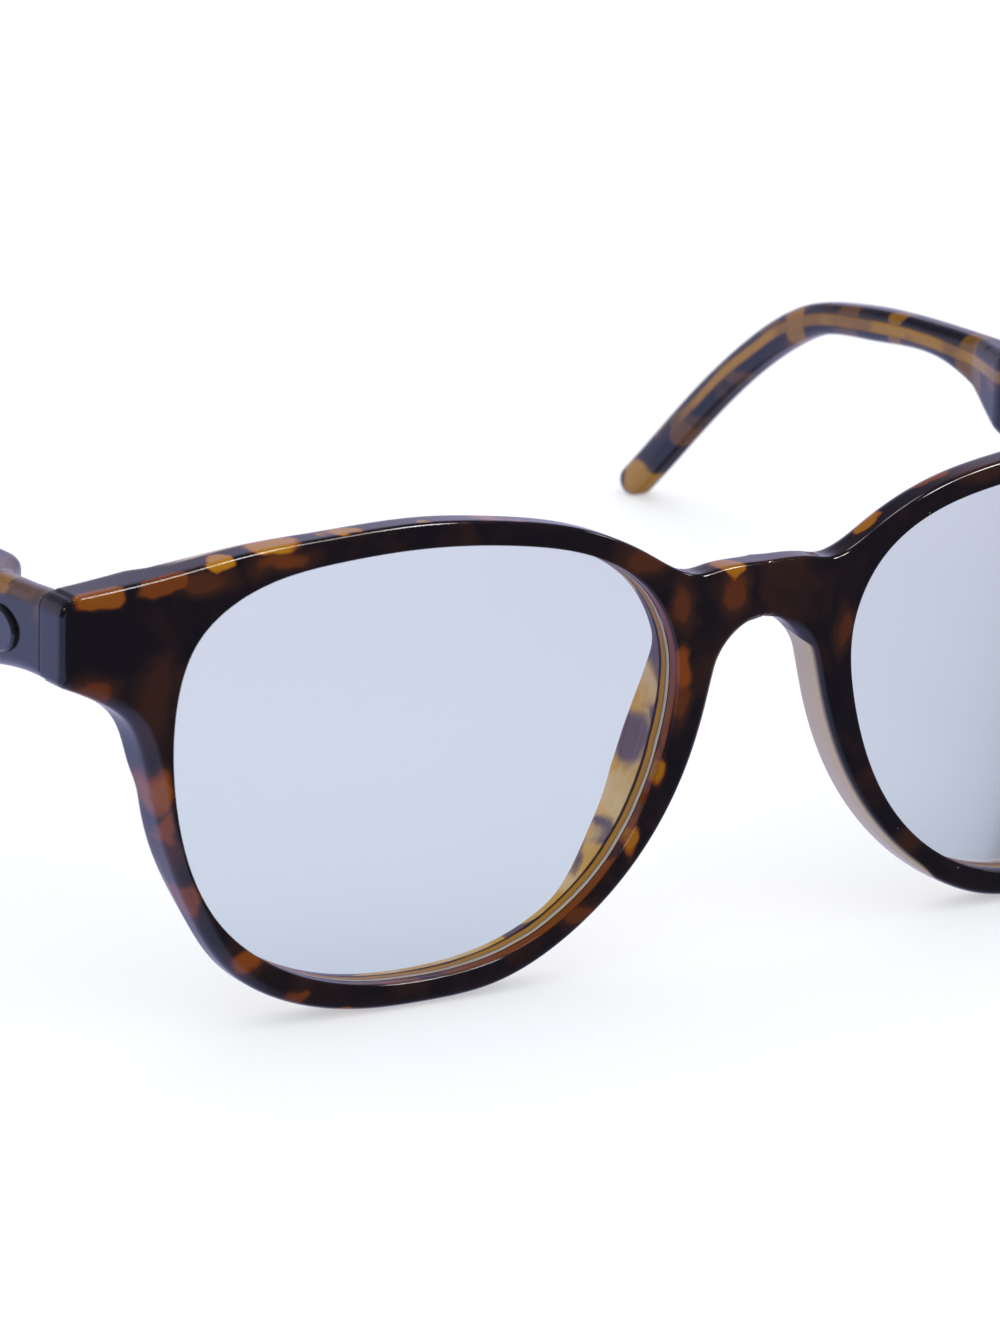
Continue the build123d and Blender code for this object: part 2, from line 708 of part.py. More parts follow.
with BuildPart() as arm_housing_left:
    add(plain_housing)
    add(button_slot(button_x, rocker_length), mode=Mode.SUBTRACT)
arm_housing_left.part.label = "arm_housing_left"
export_step(arm_housing_left.part, "parts/arm_housing_left.step")

with BuildPart() as arm_housing_right:
    mirror(plain_housing, about=Plane.YZ)
    add(button_slot(-button_x, button_length), mode=Mode.SUBTRACT)
arm_housing_right.part.label = "arm_housing_right"
export_step(arm_housing_right.part, "parts/arm_housing_right.step")

with BuildPart() as volume_rocker:
    with BuildSketch(Plane.XY.offset(flange_top - flange_thickness)):
        with Locations((button_x, button_y)):
            SlotOverall(rocker_length + 2 * button_flange, button_width + 2 * button_flange, rotation=90)
    extrude(amount=flange_thickness)
    with BuildSketch(Plane.XY.offset(flange_top)):
        with Locations((button_x, button_y)):
            SlotOverall(rocker_length - 2 * fit_gap, button_width, rotation=90)
    extrude(amount=button_top - flange_top)
    fillet(volume_rocker.faces().sort_by(Axis.Z)[-1].edges(), radius=button_edge_radius)
    # Dip in the middle that tells the two ends apart
    with Locations((button_x, button_y, button_top + rocker_dip_radius - rocker_dip_depth)):
        Cylinder(rocker_dip_radius, 2 * button_width, rotation=(0, 90, 0), mode=Mode.SUBTRACT)
volume_rocker.part.label = "volume_rocker"
export_step(volume_rocker.part, "parts/volume_rocker.step")

with BuildPart() as action_button:
    with BuildSketch(Plane.XY.offset(flange_top - flange_thickness)):
        with Locations((-button_x, button_y)):
            SlotOverall(button_length + 2 * button_flange, button_width + 2 * button_flange, rotation=90)
    extrude(amount=flange_thickness)
    with BuildSketch(Plane.XY.offset(flange_top)):
        with Locations((-button_x, button_y)):
            SlotOverall(button_length, button_width, rotation=90)
    extrude(amount=button_top - flange_top)
    fillet(action_button.faces().sort_by(Axis.Z)[-1].edges(), radius=button_edge_radius)
action_button.part.label = "action_button"
export_step(action_button.part, "parts/action_button.step")

with BuildPart() as rocker_switches:
    for side in (-1, 1):
        with Locations((switch_x, button_y + side * switch_spacing / 2, switch_top - switch_height / 2)):
            Box(switch_width, switch_length, switch_height)
rocker_switches.part.label = "rocker_switches"
export_step(rocker_switches.part, "parts/rocker_switches.step")

with BuildPart() as action_switch:
    with Locations((-switch_x, button_y, switch_top - switch_height / 2)):
        Box(switch_width, switch_length, switch_height)
    with BuildSketch(Plane.XY.offset(switch_top)):
        with Locations((-switch_x, button_y)):
            Circle(switch_width / 4)
    extrude(amount=-switch_dome_depth, mode=Mode.SUBTRACT)
action_switch.part.label = "action_switch"
export_step(action_switch.part, "parts/action_switch.step")

# ---- Charging face on the right arm ----------------------------------------------------

contact_places = [
    (contact_y - contact_spacing / 2, contact_z),
    (contact_y + contact_spacing / 2, contact_z),
]

with BuildPart() as arm_cover_right:
    mirror(plain_cover, about=Plane.YZ)
    with Locations(*[(-arm_deep_inner_x, y, z) for y, z in contact_places]):
        Cylinder(contact_radius + fit_gap, 4 * cover_thickness, rotation=(0, 90, 0), mode=Mode.SUBTRACT)
    with Locations((-arm_deep_inner_x, light_y, contact_z)):
        Cylinder(light_radius + fit_gap, 4 * cover_thickness, rotation=(0, 90, 0), mode=Mode.SUBTRACT)
arm_cover_right.part.label = "arm_cover_right"
export_step(arm_cover_right.part, "parts/arm_cover_right.step")

with BuildPart() as charging_contacts:
    for y, z in contact_places:
        with BuildSketch(Plane.YZ.offset(-arm_deep_inner_x)):
            with Locations((y, z)):
                Circle(contact_radius)
        extrude(amount=-contact_length)
charging_contacts.part.label = "charging_contacts"
export_step(charging_contacts.part, "parts/charging_contacts.step")

with BuildPart() as charging_magnet:
    with BuildSketch(Plane.YZ.offset(-cover_back_x)):
        with Locations((contact_y, contact_z)):
            Circle(magnet_radius)
    extrude(amount=-magnet_thickness)
charging_magnet.part.label = "charging_magnet"
export_step(charging_magnet.part, "parts/charging_magnet.step")

with BuildPart() as status_light:
    with BuildSketch(Plane.YZ.offset(-arm_deep_inner_x)):
        with Locations((light_y, contact_z)):
            Circle(light_radius)
    extrude(amount=-contact_length)
status_light.part.label = "status_light"
export_step(status_light.part, "parts/status_light.step")
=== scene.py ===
import bmesh
import bpy
import math
import numpy as np
from mathutils import Matrix, Vector


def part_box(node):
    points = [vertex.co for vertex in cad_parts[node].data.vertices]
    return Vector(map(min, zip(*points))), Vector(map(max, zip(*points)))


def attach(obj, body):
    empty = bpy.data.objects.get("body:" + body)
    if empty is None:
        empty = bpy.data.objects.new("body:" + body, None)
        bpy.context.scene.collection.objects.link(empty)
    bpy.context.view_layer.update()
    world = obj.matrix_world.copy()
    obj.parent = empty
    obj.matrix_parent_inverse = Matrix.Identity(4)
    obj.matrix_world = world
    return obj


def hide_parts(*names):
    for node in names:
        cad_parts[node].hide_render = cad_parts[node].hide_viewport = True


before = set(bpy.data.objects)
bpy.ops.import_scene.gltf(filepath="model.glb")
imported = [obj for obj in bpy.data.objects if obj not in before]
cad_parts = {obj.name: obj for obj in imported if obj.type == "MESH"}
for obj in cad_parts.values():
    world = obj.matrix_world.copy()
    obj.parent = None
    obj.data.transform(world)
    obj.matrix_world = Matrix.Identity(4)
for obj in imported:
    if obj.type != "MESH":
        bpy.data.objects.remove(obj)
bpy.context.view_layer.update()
MM = 0.001

front_low, front_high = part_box("front_frame")
HALF_WIDTH = front_high[0] / MM
END_DEPTH = 7.0         # back of the end pieces, where the arms meet them
THICKNESS = 4.0
BOW = 3.05              # how far the face curves back over half its width
BACK_HALF = 61.0        # half-width of the bowed part of the back
BACK_BOW = 2.3
SEAT_RISE = 2.2         # width over which the back steps to the seat of the arm
EYE_X = 35.4
TOP_CORNER = 1.4        # corners of the end piece
LOW_CORNER = 0.45
LENS_FRONT = 1.3        # lens faces behind the front face
LENS_BACK = 2.9
LENS_PLAY = 0.08
LENS_SKIN = 0.03        # how far the band that shows the lens's edge stays inside its faces
EDGE_INSET = -0.02
GROOVE_DEPTH = 0.55
PAD_CREST = (3.3, 4.2)  # back of the nose pad at its ends, and how much farther back at its middle
PAD_FOOT = 3.0
PAD_SLOPE = 4.5 / 3.1
PAD_LOW_Z, PAD_LENGTH = -17.0, 25.0
BLEND = 0.8             # softness where two surfaces meet

# ---- Curves ----------------------------------------------------------------------------


def cubic(points, closed=False, start=None, end=None, steps=40):
    """Dense samples of a smooth curve through points; start and end are directions at its ends."""
    p = np.array(points, float)
    if closed:
        p = np.vstack([p, p[:1]])
    n = len(p)
    h = np.linalg.norm(np.diff(p, axis=0), axis=1)
    a = np.zeros((n, n))
    b = np.zeros((n, 2))
    for i in range(1, n - 1):
        a[i, i - 1] = 1 / h[i - 1]
        a[i, i] = 2 / h[i - 1] + 2 / h[i]
        a[i, i + 1] = 1 / h[i]
        b[i] = 3 * ((p[i] - p[i - 1]) / h[i - 1] ** 2 + (p[i + 1] - p[i]) / h[i] ** 2)
    if closed:
        a[0, 0], a[0, n - 1] = 1, -1
        a[n - 1, 0] = 2 / h[0]
        a[n - 1, 1] = 1 / h[0]
        a[n - 1, n - 1] = 2 / h[-1]
        a[n - 1, n - 2] = 1 / h[-1]
        b[n - 1] = 3 * ((p[1] - p[0]) / h[0] ** 2 + (p[-1] - p[-2]) / h[-1] ** 2)
    else:
        for row, near, chord, way in ((0, 1, h[0], start), (n - 1, n - 2, h[-1], end)):
            if way is None:
                a[row, row], a[row, near] = 2, 1
                sign = 1 if row == 0 else -1
                b[row] = 3 * sign * (p[near] - p[row]) / chord
            else:
                a[row, row] = 1
                b[row] = np.array(way) / np.linalg.norm(way)
    m = np.linalg.solve(a, b)
    t = np.linspace(0, 1, steps, endpoint=False)[:, None]
    out = []
    for i in range(n - 1):
        c0 = (1 + 2 * t) * (1 - t) ** 2
        c1 = t * (1 - t) ** 2 * h[i]
        c2 = t ** 2 * (3 - 2 * t)
        c3 = t ** 2 * (t - 1) * h[i]
        out.append(c0 * p[i] + c1 * m[i] + c2 * p[i + 1] + c3 * m[i + 1])
    out = np.vstack(out)
    return out if closed else np.vstack([out, p[-1:]])


def lengths(path):
    return np.concatenate([[0], np.cumsum(np.linalg.norm(np.diff(path, axis=0), axis=1))])


def evenly(path, spacing):
    """The path redrawn with evenly spaced points, its ends kept."""
    s = lengths(path)
    count = max(2, int(round(s[-1] / spacing)) + 1)
    at = np.linspace(0, s[-1], count)
    return np.column_stack([np.interp(at, s, path[:, k]) for k in range(2)])


def nearest(spots, path, closed=False):
    """For each spot: distance to the path, and how far along the path the closest place is."""
    q = np.vstack([path, path[:1]]) if closed else path
    a, b = q[:-1], q[1:]
    ab = b - a
    ll = (ab ** 2).sum(1)
    s = lengths(q)
    best = np.empty(len(spots))
    where = np.empty(len(spots))
    for k in range(0, len(spots), 400):
        c = spots[k:k + 400][:, None, :] - a[None]
        t = np.clip((c * ab).sum(2) / ll, 0, 1)
        d = np.linalg.norm(c - t[..., None] * ab, axis=2)
        i = d.argmin(1)
        r = np.arange(len(i))
        best[k:k + 400] = d[r, i]
        where[k:k + 400] = s[i] + t[r, i] * np.sqrt(ll[i])
    return best, where


eye = cubic(
    [(EYE_X + x, z) for x, z in [
        (25.0, 0.0), (25.0, 6.8), (22.9, 13.2), (17.1, 17.3), (9.4, 18.8), (1.5, 19.2), (-9.0, 18.4),
        (-16.6, 16.6), (-22.4, 12.9), (-25.4, 6.8), (-25.0, 0.0), (-19.9, -11.5), (-10.7, -18.5),
        (0.0, -20.4), (11.1, -18.9), (20.8, -12.2),
    ]], closed=True)
top = cubic([
    (0.0, 14.2), (5.4, 14.0), (7.2, 13.75), (9.2, 14.2), (13.1, 16.3), (20.8, 19.5), (28.5, 20.9),
    (35.0, 21.5), (45.3, 21.2), (52.7, 20.6), (60.3, 19.4), (67.7, 18.4), (74.0, 17.8)],
    start=(1, 0), end=(1, -0.08))
under = cubic([
    (74.0, 11.7), (67.8, 8.9), (64.4, 6.4), (62.9, 2.6), (60.8, -5.7), (58.5, -11.4), (55.1, -16.8),
    (48.5, -21.0), (40.4, -22.7), (35.1, -22.8), (28.1, -22.2), (21.1, -19.3), (12.9, -12.4), (8.3, -5.2),
    (6.1, 1.0), (5.2, 4.6)], start=(-1, -0.45), end=(-0.27, 1.0))
# The arch over the nose, drawn once through its ends and again through its own middle
single = cubic([(5.2, 4.6), (0.0, 8.9)], start=(-0.27, 1.0), end=(-1, 0))
arch = cubic([tuple(single[0]), tuple(single[20]), (0.0, 8.9)], start=(-0.27, 1.0), end=(-1, 0))
NO_PAD = 40.0           # a foot this far out leaves no pad
pad_line = np.array([(4.6, 8.0), (5.3, 4.0), (6.2, 1.0), (8.6, -5.2), (13.2, -12.4), (18.5, -17.0)])

# ---- Front -----------------------------------------------------------------------------


def arc_depth(x, half, sag):
    radius = (half ** 2 + sag ** 2) / (2 * sag)
    return radius - np.sqrt(radius ** 2 - x ** 2)


def face_depth(x):
    return arc_depth(x, HALF_WIDTH, BOW)


def back_depth(x):
    """Back of the front: bowed over the lenses, then stepping back to the seat of the arm."""
    bowed = THICKNESS + arc_depth(np.minimum(x, BACK_HALF), BACK_HALF, BACK_BOW)
    rise = np.clip((x - BACK_HALF) / SEAT_RISE, 0, 1)
    rise = rise * rise * (3 - 2 * rise)
    return bowed + (END_DEPTH - bowed) * rise


def rounded(distance, radius):
    """How far a rounded edge has fallen away, this far in from it."""
    d = np.clip(distance, 0, radius)
    return radius - np.sqrt(np.maximum(radius ** 2 - (radius - d) ** 2, 0))


def smooth_max(a, b, k):
    h = np.clip(0.5 + 0.5 * (a - b) / k, 0, 1)
    return b + (a - b) * h + k * h * (1 - h)


def pad_depth(x, z):
    """Back of the nose pad: a crest that is highest at mid-length, with a side sloping to the nose."""
    order = np.argsort(pad_line[:, 1])
    foot = np.interp(z, pad_line[order, 1], pad_line[order, 0], left=NO_PAD, right=NO_PAD)
    crest_t = np.clip((z - PAD_LOW_Z) / PAD_LENGTH, 0, 1)
    crest = PAD_CREST[0] + PAD_CREST[1] * np.sin(np.pi * crest_t) ** 0.8
    slope = PAD_FOOT + (x - foot) * PAD_SLOPE
    return -smooth_max(-crest, -slope, BLEND)


def corner(z, radius, way):
    """A rounded corner at the end of the front; way is 1 above, going down, and -1 below."""
    angles = np.linspace(0, math.pi / 2, 5)
    if way < 0:
        angles = math.pi / 2 - angles
    x = HALF_WIDTH - radius + radius * np.sin(angles)
    return list(zip(x, z - way * radius + way * radius * np.cos(angles)))


z_top = np.interp(HALF_WIDTH, top[:, 0], top[:, 1])
z_under = np.interp(HALF_WIDTH, under[:40, 0][::-1], under[:40, 1][::-1])
top_part = top[top[:, 0] < HALF_WIDTH - TOP_CORNER]
under_part = under[under[:, 0] < HALF_WIDTH - LOW_CORNER]
end_part = corner(z_top, TOP_CORNER, 1) + corner(z_under, LOW_CORNER, -1)
POINT_GAP, CORNER_GAP = 0.3, 0.16
sections = [
    ("top", evenly(np.vstack([top_part, end_part[:1]]), POINT_GAP)),
    ("end", evenly(np.array(end_part), CORNER_GAP)),
    ("under", evenly(np.vstack([end_part[-1:], under_part, arch[1:]]), POINT_GAP)),
    ("middle", evenly(np.array([(0.0, arch[-1][1]), (0.0, top[0][1])]), POINT_GAP)),
]
outline = np.vstack([s[:-1] for _, s in sections])
kind = np.concatenate([[k] * (len(s) - 1) for k, s in sections])
rim_path = np.vstack([s if k == "under" else s[:-1] for k, s in sections if k != "middle"])


def softened(values, width):
    """Values averaged along the loop."""
    reach = int(3 * width)
    w = np.exp(-0.5 * (np.arange(-reach, reach + 1) / width) ** 2)
    w /= w.sum()
    return np.convolve(np.concatenate([values[-reach:], values, values[:reach]]), w, "valid")


N = len(outline)
FRONT_R = softened(np.select([kind == "top", kind == "end", kind == "under"], [0.6, 0.45, 1.35], 0.5), 6)
SEAT_START = 62.5
seat = outline[:, 0] > SEAT_START
SEAT_R = 0.12
top_back = SEAT_R + 1.4 * np.clip((SEAT_START - outline[:, 0]) / 16, 0, 1)
free_back = np.select([kind == "top", kind == "under"], [top_back, 1.35], 0.5)
BACK_R = softened(np.where(seat, SEAT_R, free_back), 3)
IN_FRONT_R = 0.3
IN_BACK_R = 0.35
ROUND_STEPS = 8
MID_STEPS = 9

# Where each outline point meets the opening
_, along = nearest(outline, eye, closed=True)
total = lengths(np.vstack([eye, eye[:1]]))[-1]
along = np.unwrap(along * 2 * math.pi / total) * total / (2 * math.pi)
drift = np.linspace(0, 1, N, endpoint=False) * (-total)
along = softened(along - drift, 10) + drift
eye_s = lengths(np.vstack([eye, eye[:1]]))
eye_loop = np.vstack([eye, eye[:1]])


def on_eye(s, out=0.0):
    """Places this far along the opening, and this far outside it."""
    s = np.mod(s, total)
    p = np.column_stack([np.interp(s, eye_s, eye_loop[:, k]) for k in range(2)])
    if out:
        d = on_eye(s + 0.05) - on_eye(s - 0.05)
        d /= np.linalg.norm(d, axis=1)[:, None]
        p = p + out * np.column_stack([d[:, 1], -d[:, 0]])
    return p


inner = on_eye(along)
reach = outline - inner
width = np.linalg.norm(reach, axis=1)
way = reach / width[:, None]
tangent = np.roll(outline, -1, 0) - np.roll(outline, 1, 0)
tangent /= np.linalg.norm(tangent, axis=1)[:, None]
facing = np.clip(np.abs(way[:, 0] * tangent[:, 1] - way[:, 1] * tangent[:, 0]), 0.4, 1)
bend = 1 - np.cos(np.linspace(0, math.pi / 2, ROUND_STEPS + 1))


def row_places(in_r, out_r):
    """Distances from the opening at which rows run, for every outline point."""
    near = np.outer(np.ones(N), bend[::2] * in_r)
    far = width[:, None] - np.outer(out_r / facing, bend)
    far = np.maximum(far, near[:, -1:] + (width[:, None] - near[:, -1:]) * 0.04)
    far = np.sort(far, axis=1)
    gap = far[:, :1] - near[:, -1:]
    mid = near[:, -1:] + gap * np.linspace(0, 1, MID_STEPS + 2)[None, 1:-1]
    return np.hstack([near, mid, far])


def heights(spots, r_loop, in_r, side):
    """Depth of the face or the back at each spot, edges rounded."""
    d_out, at = nearest(spots, rim_path)
    s = lengths(rim_path)
    rim_r = r_loop[kind != "middle"]
    radius = np.interp(at, s, np.append(rim_r, rim_r[-1])[:len(s)])
    d_in, _ = nearest(spots, eye, closed=True)
    fall = rounded(d_out, radius) + rounded(d_in, in_r)
    x, z = spots[:, 0], spots[:, 1]
    if side == "front":
        return face_depth(x) + fall
    return smooth_max(back_depth(x), pad_depth(x, z), BLEND) - fall


def surface(side):
    r_loop, in_r = (FRONT_R, IN_FRONT_R) if side == "front" else (BACK_R, IN_BACK_R)
    places = row_places(in_r, r_loop)
    spots = inner[:, None, :] + way[:, None, :] * places[..., None]
    y = heights(spots.reshape(-1, 2), r_loop, in_r, side).reshape(places.shape)
    return np.dstack([spots[..., 0], y, spots[..., 1]])


front_rows = surface("front")
back_rows = surface("back")
face = face_depth(inner[:, 0])
groove_front = face + LENS_FRONT - LENS_PLAY
groove_back = face + LENS_BACK + LENS_PLAY


def at(points, y):
    return np.column_stack([points[:, 0], y, points[:, 1]])


groove = on_eye(along, GROOVE_DEPTH)
edge_front = front_rows[:, 0, 1]
edge_back = back_rows[:, 0, 1]
wall_rows = [at(inner, edge_front + (groove_front - edge_front) * f) for f in (0.25, 0.5, 0.75, 1.0)]
wall_rows += [at(groove, groove_front), at(groove, groove_back)]
wall_rows += [at(inner, groove_back + (edge_back - groove_back) * f) for f in (0.0, 0.15, 0.4, 0.7)]
side_depth = back_rows[:, -1] - front_rows[:, -1]
outer_rows = [front_rows[:, -1] + side_depth * f for f in (0.2, 0.4, 0.6, 0.8)]
# One closed section per outline point: opening wall backwards, front face, outer wall, back face
chain = [r for r in reversed(wall_rows)]
chain += [front_rows[:, k] for k in range(front_rows.shape[1])]
chain += outer_rows
chain += [back_rows[:, k] for k in range(back_rows.shape[1] - 1, -1, -1)]
grid = np.stack(chain, axis=1)
n_wall = len(wall_rows)
n_front = front_rows.shape[1]
M = grid.shape[1]
# Marks for the material: the wall of the opening, and what faces backwards
wall_mark = np.zeros((N, M))
wall_mark[:, :n_wall] = 1.0
wall_mark[:, n_wall] = 1.0
wall_mark[:, n_wall + 1] = 0.6
wall_mark[:, -3:] = 1.0
rear_mark = np.zeros((N, M))
rear_mark[:, :4] = 1.0
rear_mark[:, n_wall + n_front + len(outer_rows) + ROUND_STEPS + 1:] = 1.0


def build_front():
    verts = grid.reshape(-1, 3) * MM
    faces = []
    first_out = n_wall + n_front - 1
    last_out = n_wall + n_front + len(outer_rows)
    for i in range(N):
        j = (i + 1) % N
        in_middle = kind[i] == "middle"
        for k in range(M):
            l = (k + 1) % M
            if in_middle and first_out <= k < last_out:
                continue
            faces.append((i * M + k, i * M + l, j * M + l, j * M + k))
    twin = verts * [-1, 1, 1]
    count = len(verts)
    all_verts = np.vstack([verts, twin])
    all_faces = faces + [tuple(count + v for v in reversed(f)) for f in faces]
    mesh = bpy.data.meshes.new("front")
    mesh.from_pydata(all_verts.tolist(), [], all_faces)
    for name, mark in (("wall", wall_mark), ("rear", rear_mark)):
        attribute = mesh.attributes.new(name, "FLOAT", "POINT")
        attribute.data.foreach_set("value", np.tile(mark.reshape(-1), 2))
    bm = bmesh.new()
    bm.from_mesh(mesh)
    seam = [v for v in bm.verts if abs(v.co.x) < 2e-6]
    bmesh.ops.remove_doubles(bm, verts=seam, dist=2e-6)
    loose = [v for v in bm.verts if not v.link_faces]
    bmesh.ops.delete(bm, geom=loose, context="VERTS")
    bmesh.ops.recalc_face_normals(bm, faces=bm.faces)
    bm.to_mesh(mesh)
    bm.free()
    mesh.polygons.foreach_set("use_smooth", [True] * len(mesh.polygons))
    mesh.set_sharp_from_angle(angle=math.radians(50))
    obj = bpy.data.objects.new("front", mesh)
    bpy.context.collection.objects.link(obj)
    return obj


front = build_front()
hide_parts("front_frame")
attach(front, "front")


def build_lens_edge(side):
    """The ground edge of a lens, seen through its face; its colours carry a painted highlight and a painted
    shadow in the groove.
    """
    ring = on_eye(np.linspace(0, total, 360, endpoint=False), EDGE_INSET)
    x = ring[:, 0]
    across = np.linspace(0, 1, 9)
    thick = LENS_BACK - LENS_FRONT - 2 * LENS_SKIN
    rows = [at(ring, face_depth(x) + LENS_FRONT + LENS_SKIN + thick * f) for f in across]
    pts = np.stack(rows, axis=1)
    n, m = pts.shape[:2]
    verts = pts.reshape(-1, 3) * [side * MM, MM, MM]
    faces = []
    for i in range(n):
        j = (i + 1) % n
        for k in range(m - 1):
            quad = (i * m + k, i * m + k + 1, j * m + k + 1, j * m + k)
            faces.append(quad if side > 0 else quad[::-1])
    name = "lens_edge_left" if side > 0 else "lens_edge_right"
    mesh = bpy.data.meshes.new(name)
    mesh.from_pydata(verts.tolist(), [], faces)
    mesh.polygons.foreach_set("use_smooth", [True] * len(mesh.polygons))
    mesh.attributes.new("across", "FLOAT", "POINT").data.foreach_set("value", np.tile(across, n))
    obj = bpy.data.objects.new(name, mesh)
    bpy.context.collection.objects.link(obj)
    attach(obj, "front")
    return obj


lens_edges = [build_lens_edge(1), build_lens_edge(-1)]

# ---- Materials -------------------------------------------------------------------------


def linear(r, g, b):
    return tuple((c / 255 / 12.92) if c <= 10 else ((c / 255 + 0.055) / 1.055) ** 2.4 for c in (r, g, b))


class Nodes:
    """Short calls for building a node tree."""

    def __init__(self, tree):
        self.tree = tree

    def add(self, kind, **settings):
        node = self.tree.nodes.new("ShaderNode" + kind)
        for key, value in settings.items():
            setattr(node, key, value)
        return node

    def link(self, value, socket):
        if isinstance(value, bpy.types.NodeSocket):
            self.tree.links.new(value, socket)
        else:
            socket.default_value = value

    def math(self, operation, a, b=0.0, c=0.0, clamp=False):
        node = self.add("Math", operation=operation, use_clamp=clamp)
        for value, socket in zip((a, b, c), node.inputs):
            self.link(value, socket)
        return node.outputs[0]

    def vector(self, operation, a, b=(0, 0, 0)):
        node = self.add("VectorMath", operation=operation)
        self.link(a, node.inputs[0])
        if operation == "SCALE":
            self.link(b, node.inputs["Scale"])
        else:
            self.link(b, node.inputs[1])
        return node.outputs["Value" if operation in ("LENGTH", "DISTANCE") else "Vector"]

    def noise(self, where, scale, detail=2.0, rough=0.5, distort=0.0, offset=(0, 0, 0)):
        node = self.add("TexNoise")
        self.link(self.vector("ADD", where, offset), node.inputs["Vector"])
        node.inputs["Scale"].default_value = scale
        node.inputs["Detail"].default_value = detail
        node.inputs["Roughness"].default_value = rough
        node.inputs["Distortion"].default_value = distort
        return node

    def span(self, value, low, high, to_low=0.0, to_high=1.0, smooth=True):
        node = self.add("MapRange", interpolation_type="SMOOTHSTEP" if smooth else "LINEAR")
        limits = {"Value": value, "From Min": low, "From Max": high, "To Min": to_low, "To Max": to_high}
        for key, v in limits.items():
            self.link(v, node.inputs[key])
        return node.outputs[0]

    def ramp(self, value, stops):
        node = self.add("ValToRGB")
        self.link(value, node.inputs[0])
        band = node.color_ramp
        while len(band.elements) < len(stops):
            band.elements.new(0.5)
        for element, (place, colour) in zip(band.elements, stops):
            element.position = place
            element.color = (*colour, 1)
        return node.outputs[0]

    def mix(self, factor, a, b, blend="MIX"):
        node = self.add("Mix", data_type="RGBA", blend_type=blend)
        self.link(factor, node.inputs["Factor"])
        self.link((*a, 1) if isinstance(a, tuple) else a, node.inputs["A"])
        self.link((*b, 1) if isinstance(b, tuple) else b, node.inputs["B"])
        return node.outputs["Result"]


class Look(Nodes):
    """A material, its main shader and the calls that need them."""

    def __init__(self, name):
        self.material = bpy.data.materials.new(name)
        self.material.use_nodes = True
        super().__init__(self.material.node_tree)
        self.shader = self.tree.nodes["Principled BSDF"]
        self.output = self.tree.nodes["Material Output"]

    def set(self, **values):
        for key, value in values.items():
            socket = self.shader.inputs[key.replace("_", " ")]
            if isinstance(value, tuple) and len(value) == 3 and socket.type == "RGBA":
                value = (*value, 1)
            self.link(value, socket)

    def place(self):
        """Where on the object a point is, in millimetres, the same in every pose."""
        return self.vector("SCALE", self.add("TexCoord").outputs["Object"], 1000.0)

    def bump(self, height, distance, strength=1.0):
        node = self.add("Bump")
        node.inputs["Strength"].default_value = strength
        node.inputs["Distance"].default_value = distance
        self.link(height, node.inputs["Height"])
        return node.outputs[0]


BLACK = linear(8, 6, 9)
BROWN = linear(44, 22, 12)
ORANGE = linear(106, 50, 5)
AMBER = linear(136, 86, 2)
HONEY = linear(154, 105, 2)
BEIGE = linear(248, 206, 142)
STRAW = linear(234, 178, 84)
PEARL = linear(170, 154, 142)
PURPLE = linear(96, 80, 104)
FACE_RADIUS = (HALF_WIDTH ** 2 + BOW ** 2) / (2 * BOW)


def patches(n, where, blobs, soft=0.22):
    """Soft-edged patches: each blob is centre, radii and strength, in millimetres."""
    found = None
    for centre, radii, strength in blobs:
        shifted = n.vector("SUBTRACT", where, centre)
        scaled = n.vector("DIVIDE", shifted, radii)
        size = n.vector("LENGTH", scaled)
        value = n.span(size, 1 + soft, 1 - soft, 0.0, strength)
        found = value if found is None else n.math("MAXIMUM", found, value)
    return found


def parts_of(n, vector):
    node = n.add("SeparateXYZ")
    n.link(vector, node.inputs[0])
    return node.outputs


def wandering(n, where, amount, seed=(7, 3, 1)):
    """The place moved about by noise, so that patches get ragged edges."""
    slow = n.noise(where, 0.30, 1, 0.5, offset=seed).outputs["Color"]
    quick = n.noise(where, 0.9, 1, 0.5, offset=seed).outputs["Color"]
    shift = n.vector("SCALE", n.vector("SUBTRACT", slow, (0.5, 0.5, 0.5)), 2.2 * amount)
    ripple = n.vector("SCALE", n.vector("SUBTRACT", quick, (0.5, 0.5, 0.5)), 0.5 * amount)
    return n.vector("ADD", n.vector("ADD", where, shift), ripple)


def polish(n, where, pattern):
    """Tumbled acetate: a deep gloss with a faint haze and hairline scratches."""
    scratch = n.noise(n.vector("MULTIPLY", where, (3.0, 9.0, 3.0)), 1.6, 4, 0.65).outputs["Fac"]
    n.set(Roughness=n.span(scratch, 0.35, 0.8, 0.06, 0.15), IOR=1.49)
    n.set(Subsurface_Weight=n.math("MULTIPLY", pattern, 0.10))
    n.set(Subsurface_Radius=(1.0, 0.45, 0.12), Subsurface_Scale=0.0012)
    n.set(Coat_Weight=0.3, Coat_Roughness=0.03)
    wave = n.noise(where, 0.12, 1, 0.4).outputs["Fac"]
    n.set(Normal=n.bump(wave, 0.00005, 0.25))


def dusted(n, where, colour):
    """Sparse pale specks over a colour."""
    cells = n.add("TexVoronoi", feature="F1")
    n.link(where, cells.inputs["Vector"])
    cells.inputs["Scale"].default_value = 0.55
    speck = n.span(cells.outputs["Distance"], 0.05, 0.03)
    some = n.span(parts_of(n, cells.outputs["Color"])["X"], 0.72, 0.73)
    return n.mix(n.math("MULTIPLY", n.math("MULTIPLY", speck, some), 0.35), colour, linear(190, 186, 190))


def shades(n, pattern, stops=(BLACK, BROWN, ORANGE, AMBER, HONEY)):
    return n.ramp(pattern, list(zip((0.0, 0.3, 0.55, 0.8, 1.0), stops)))


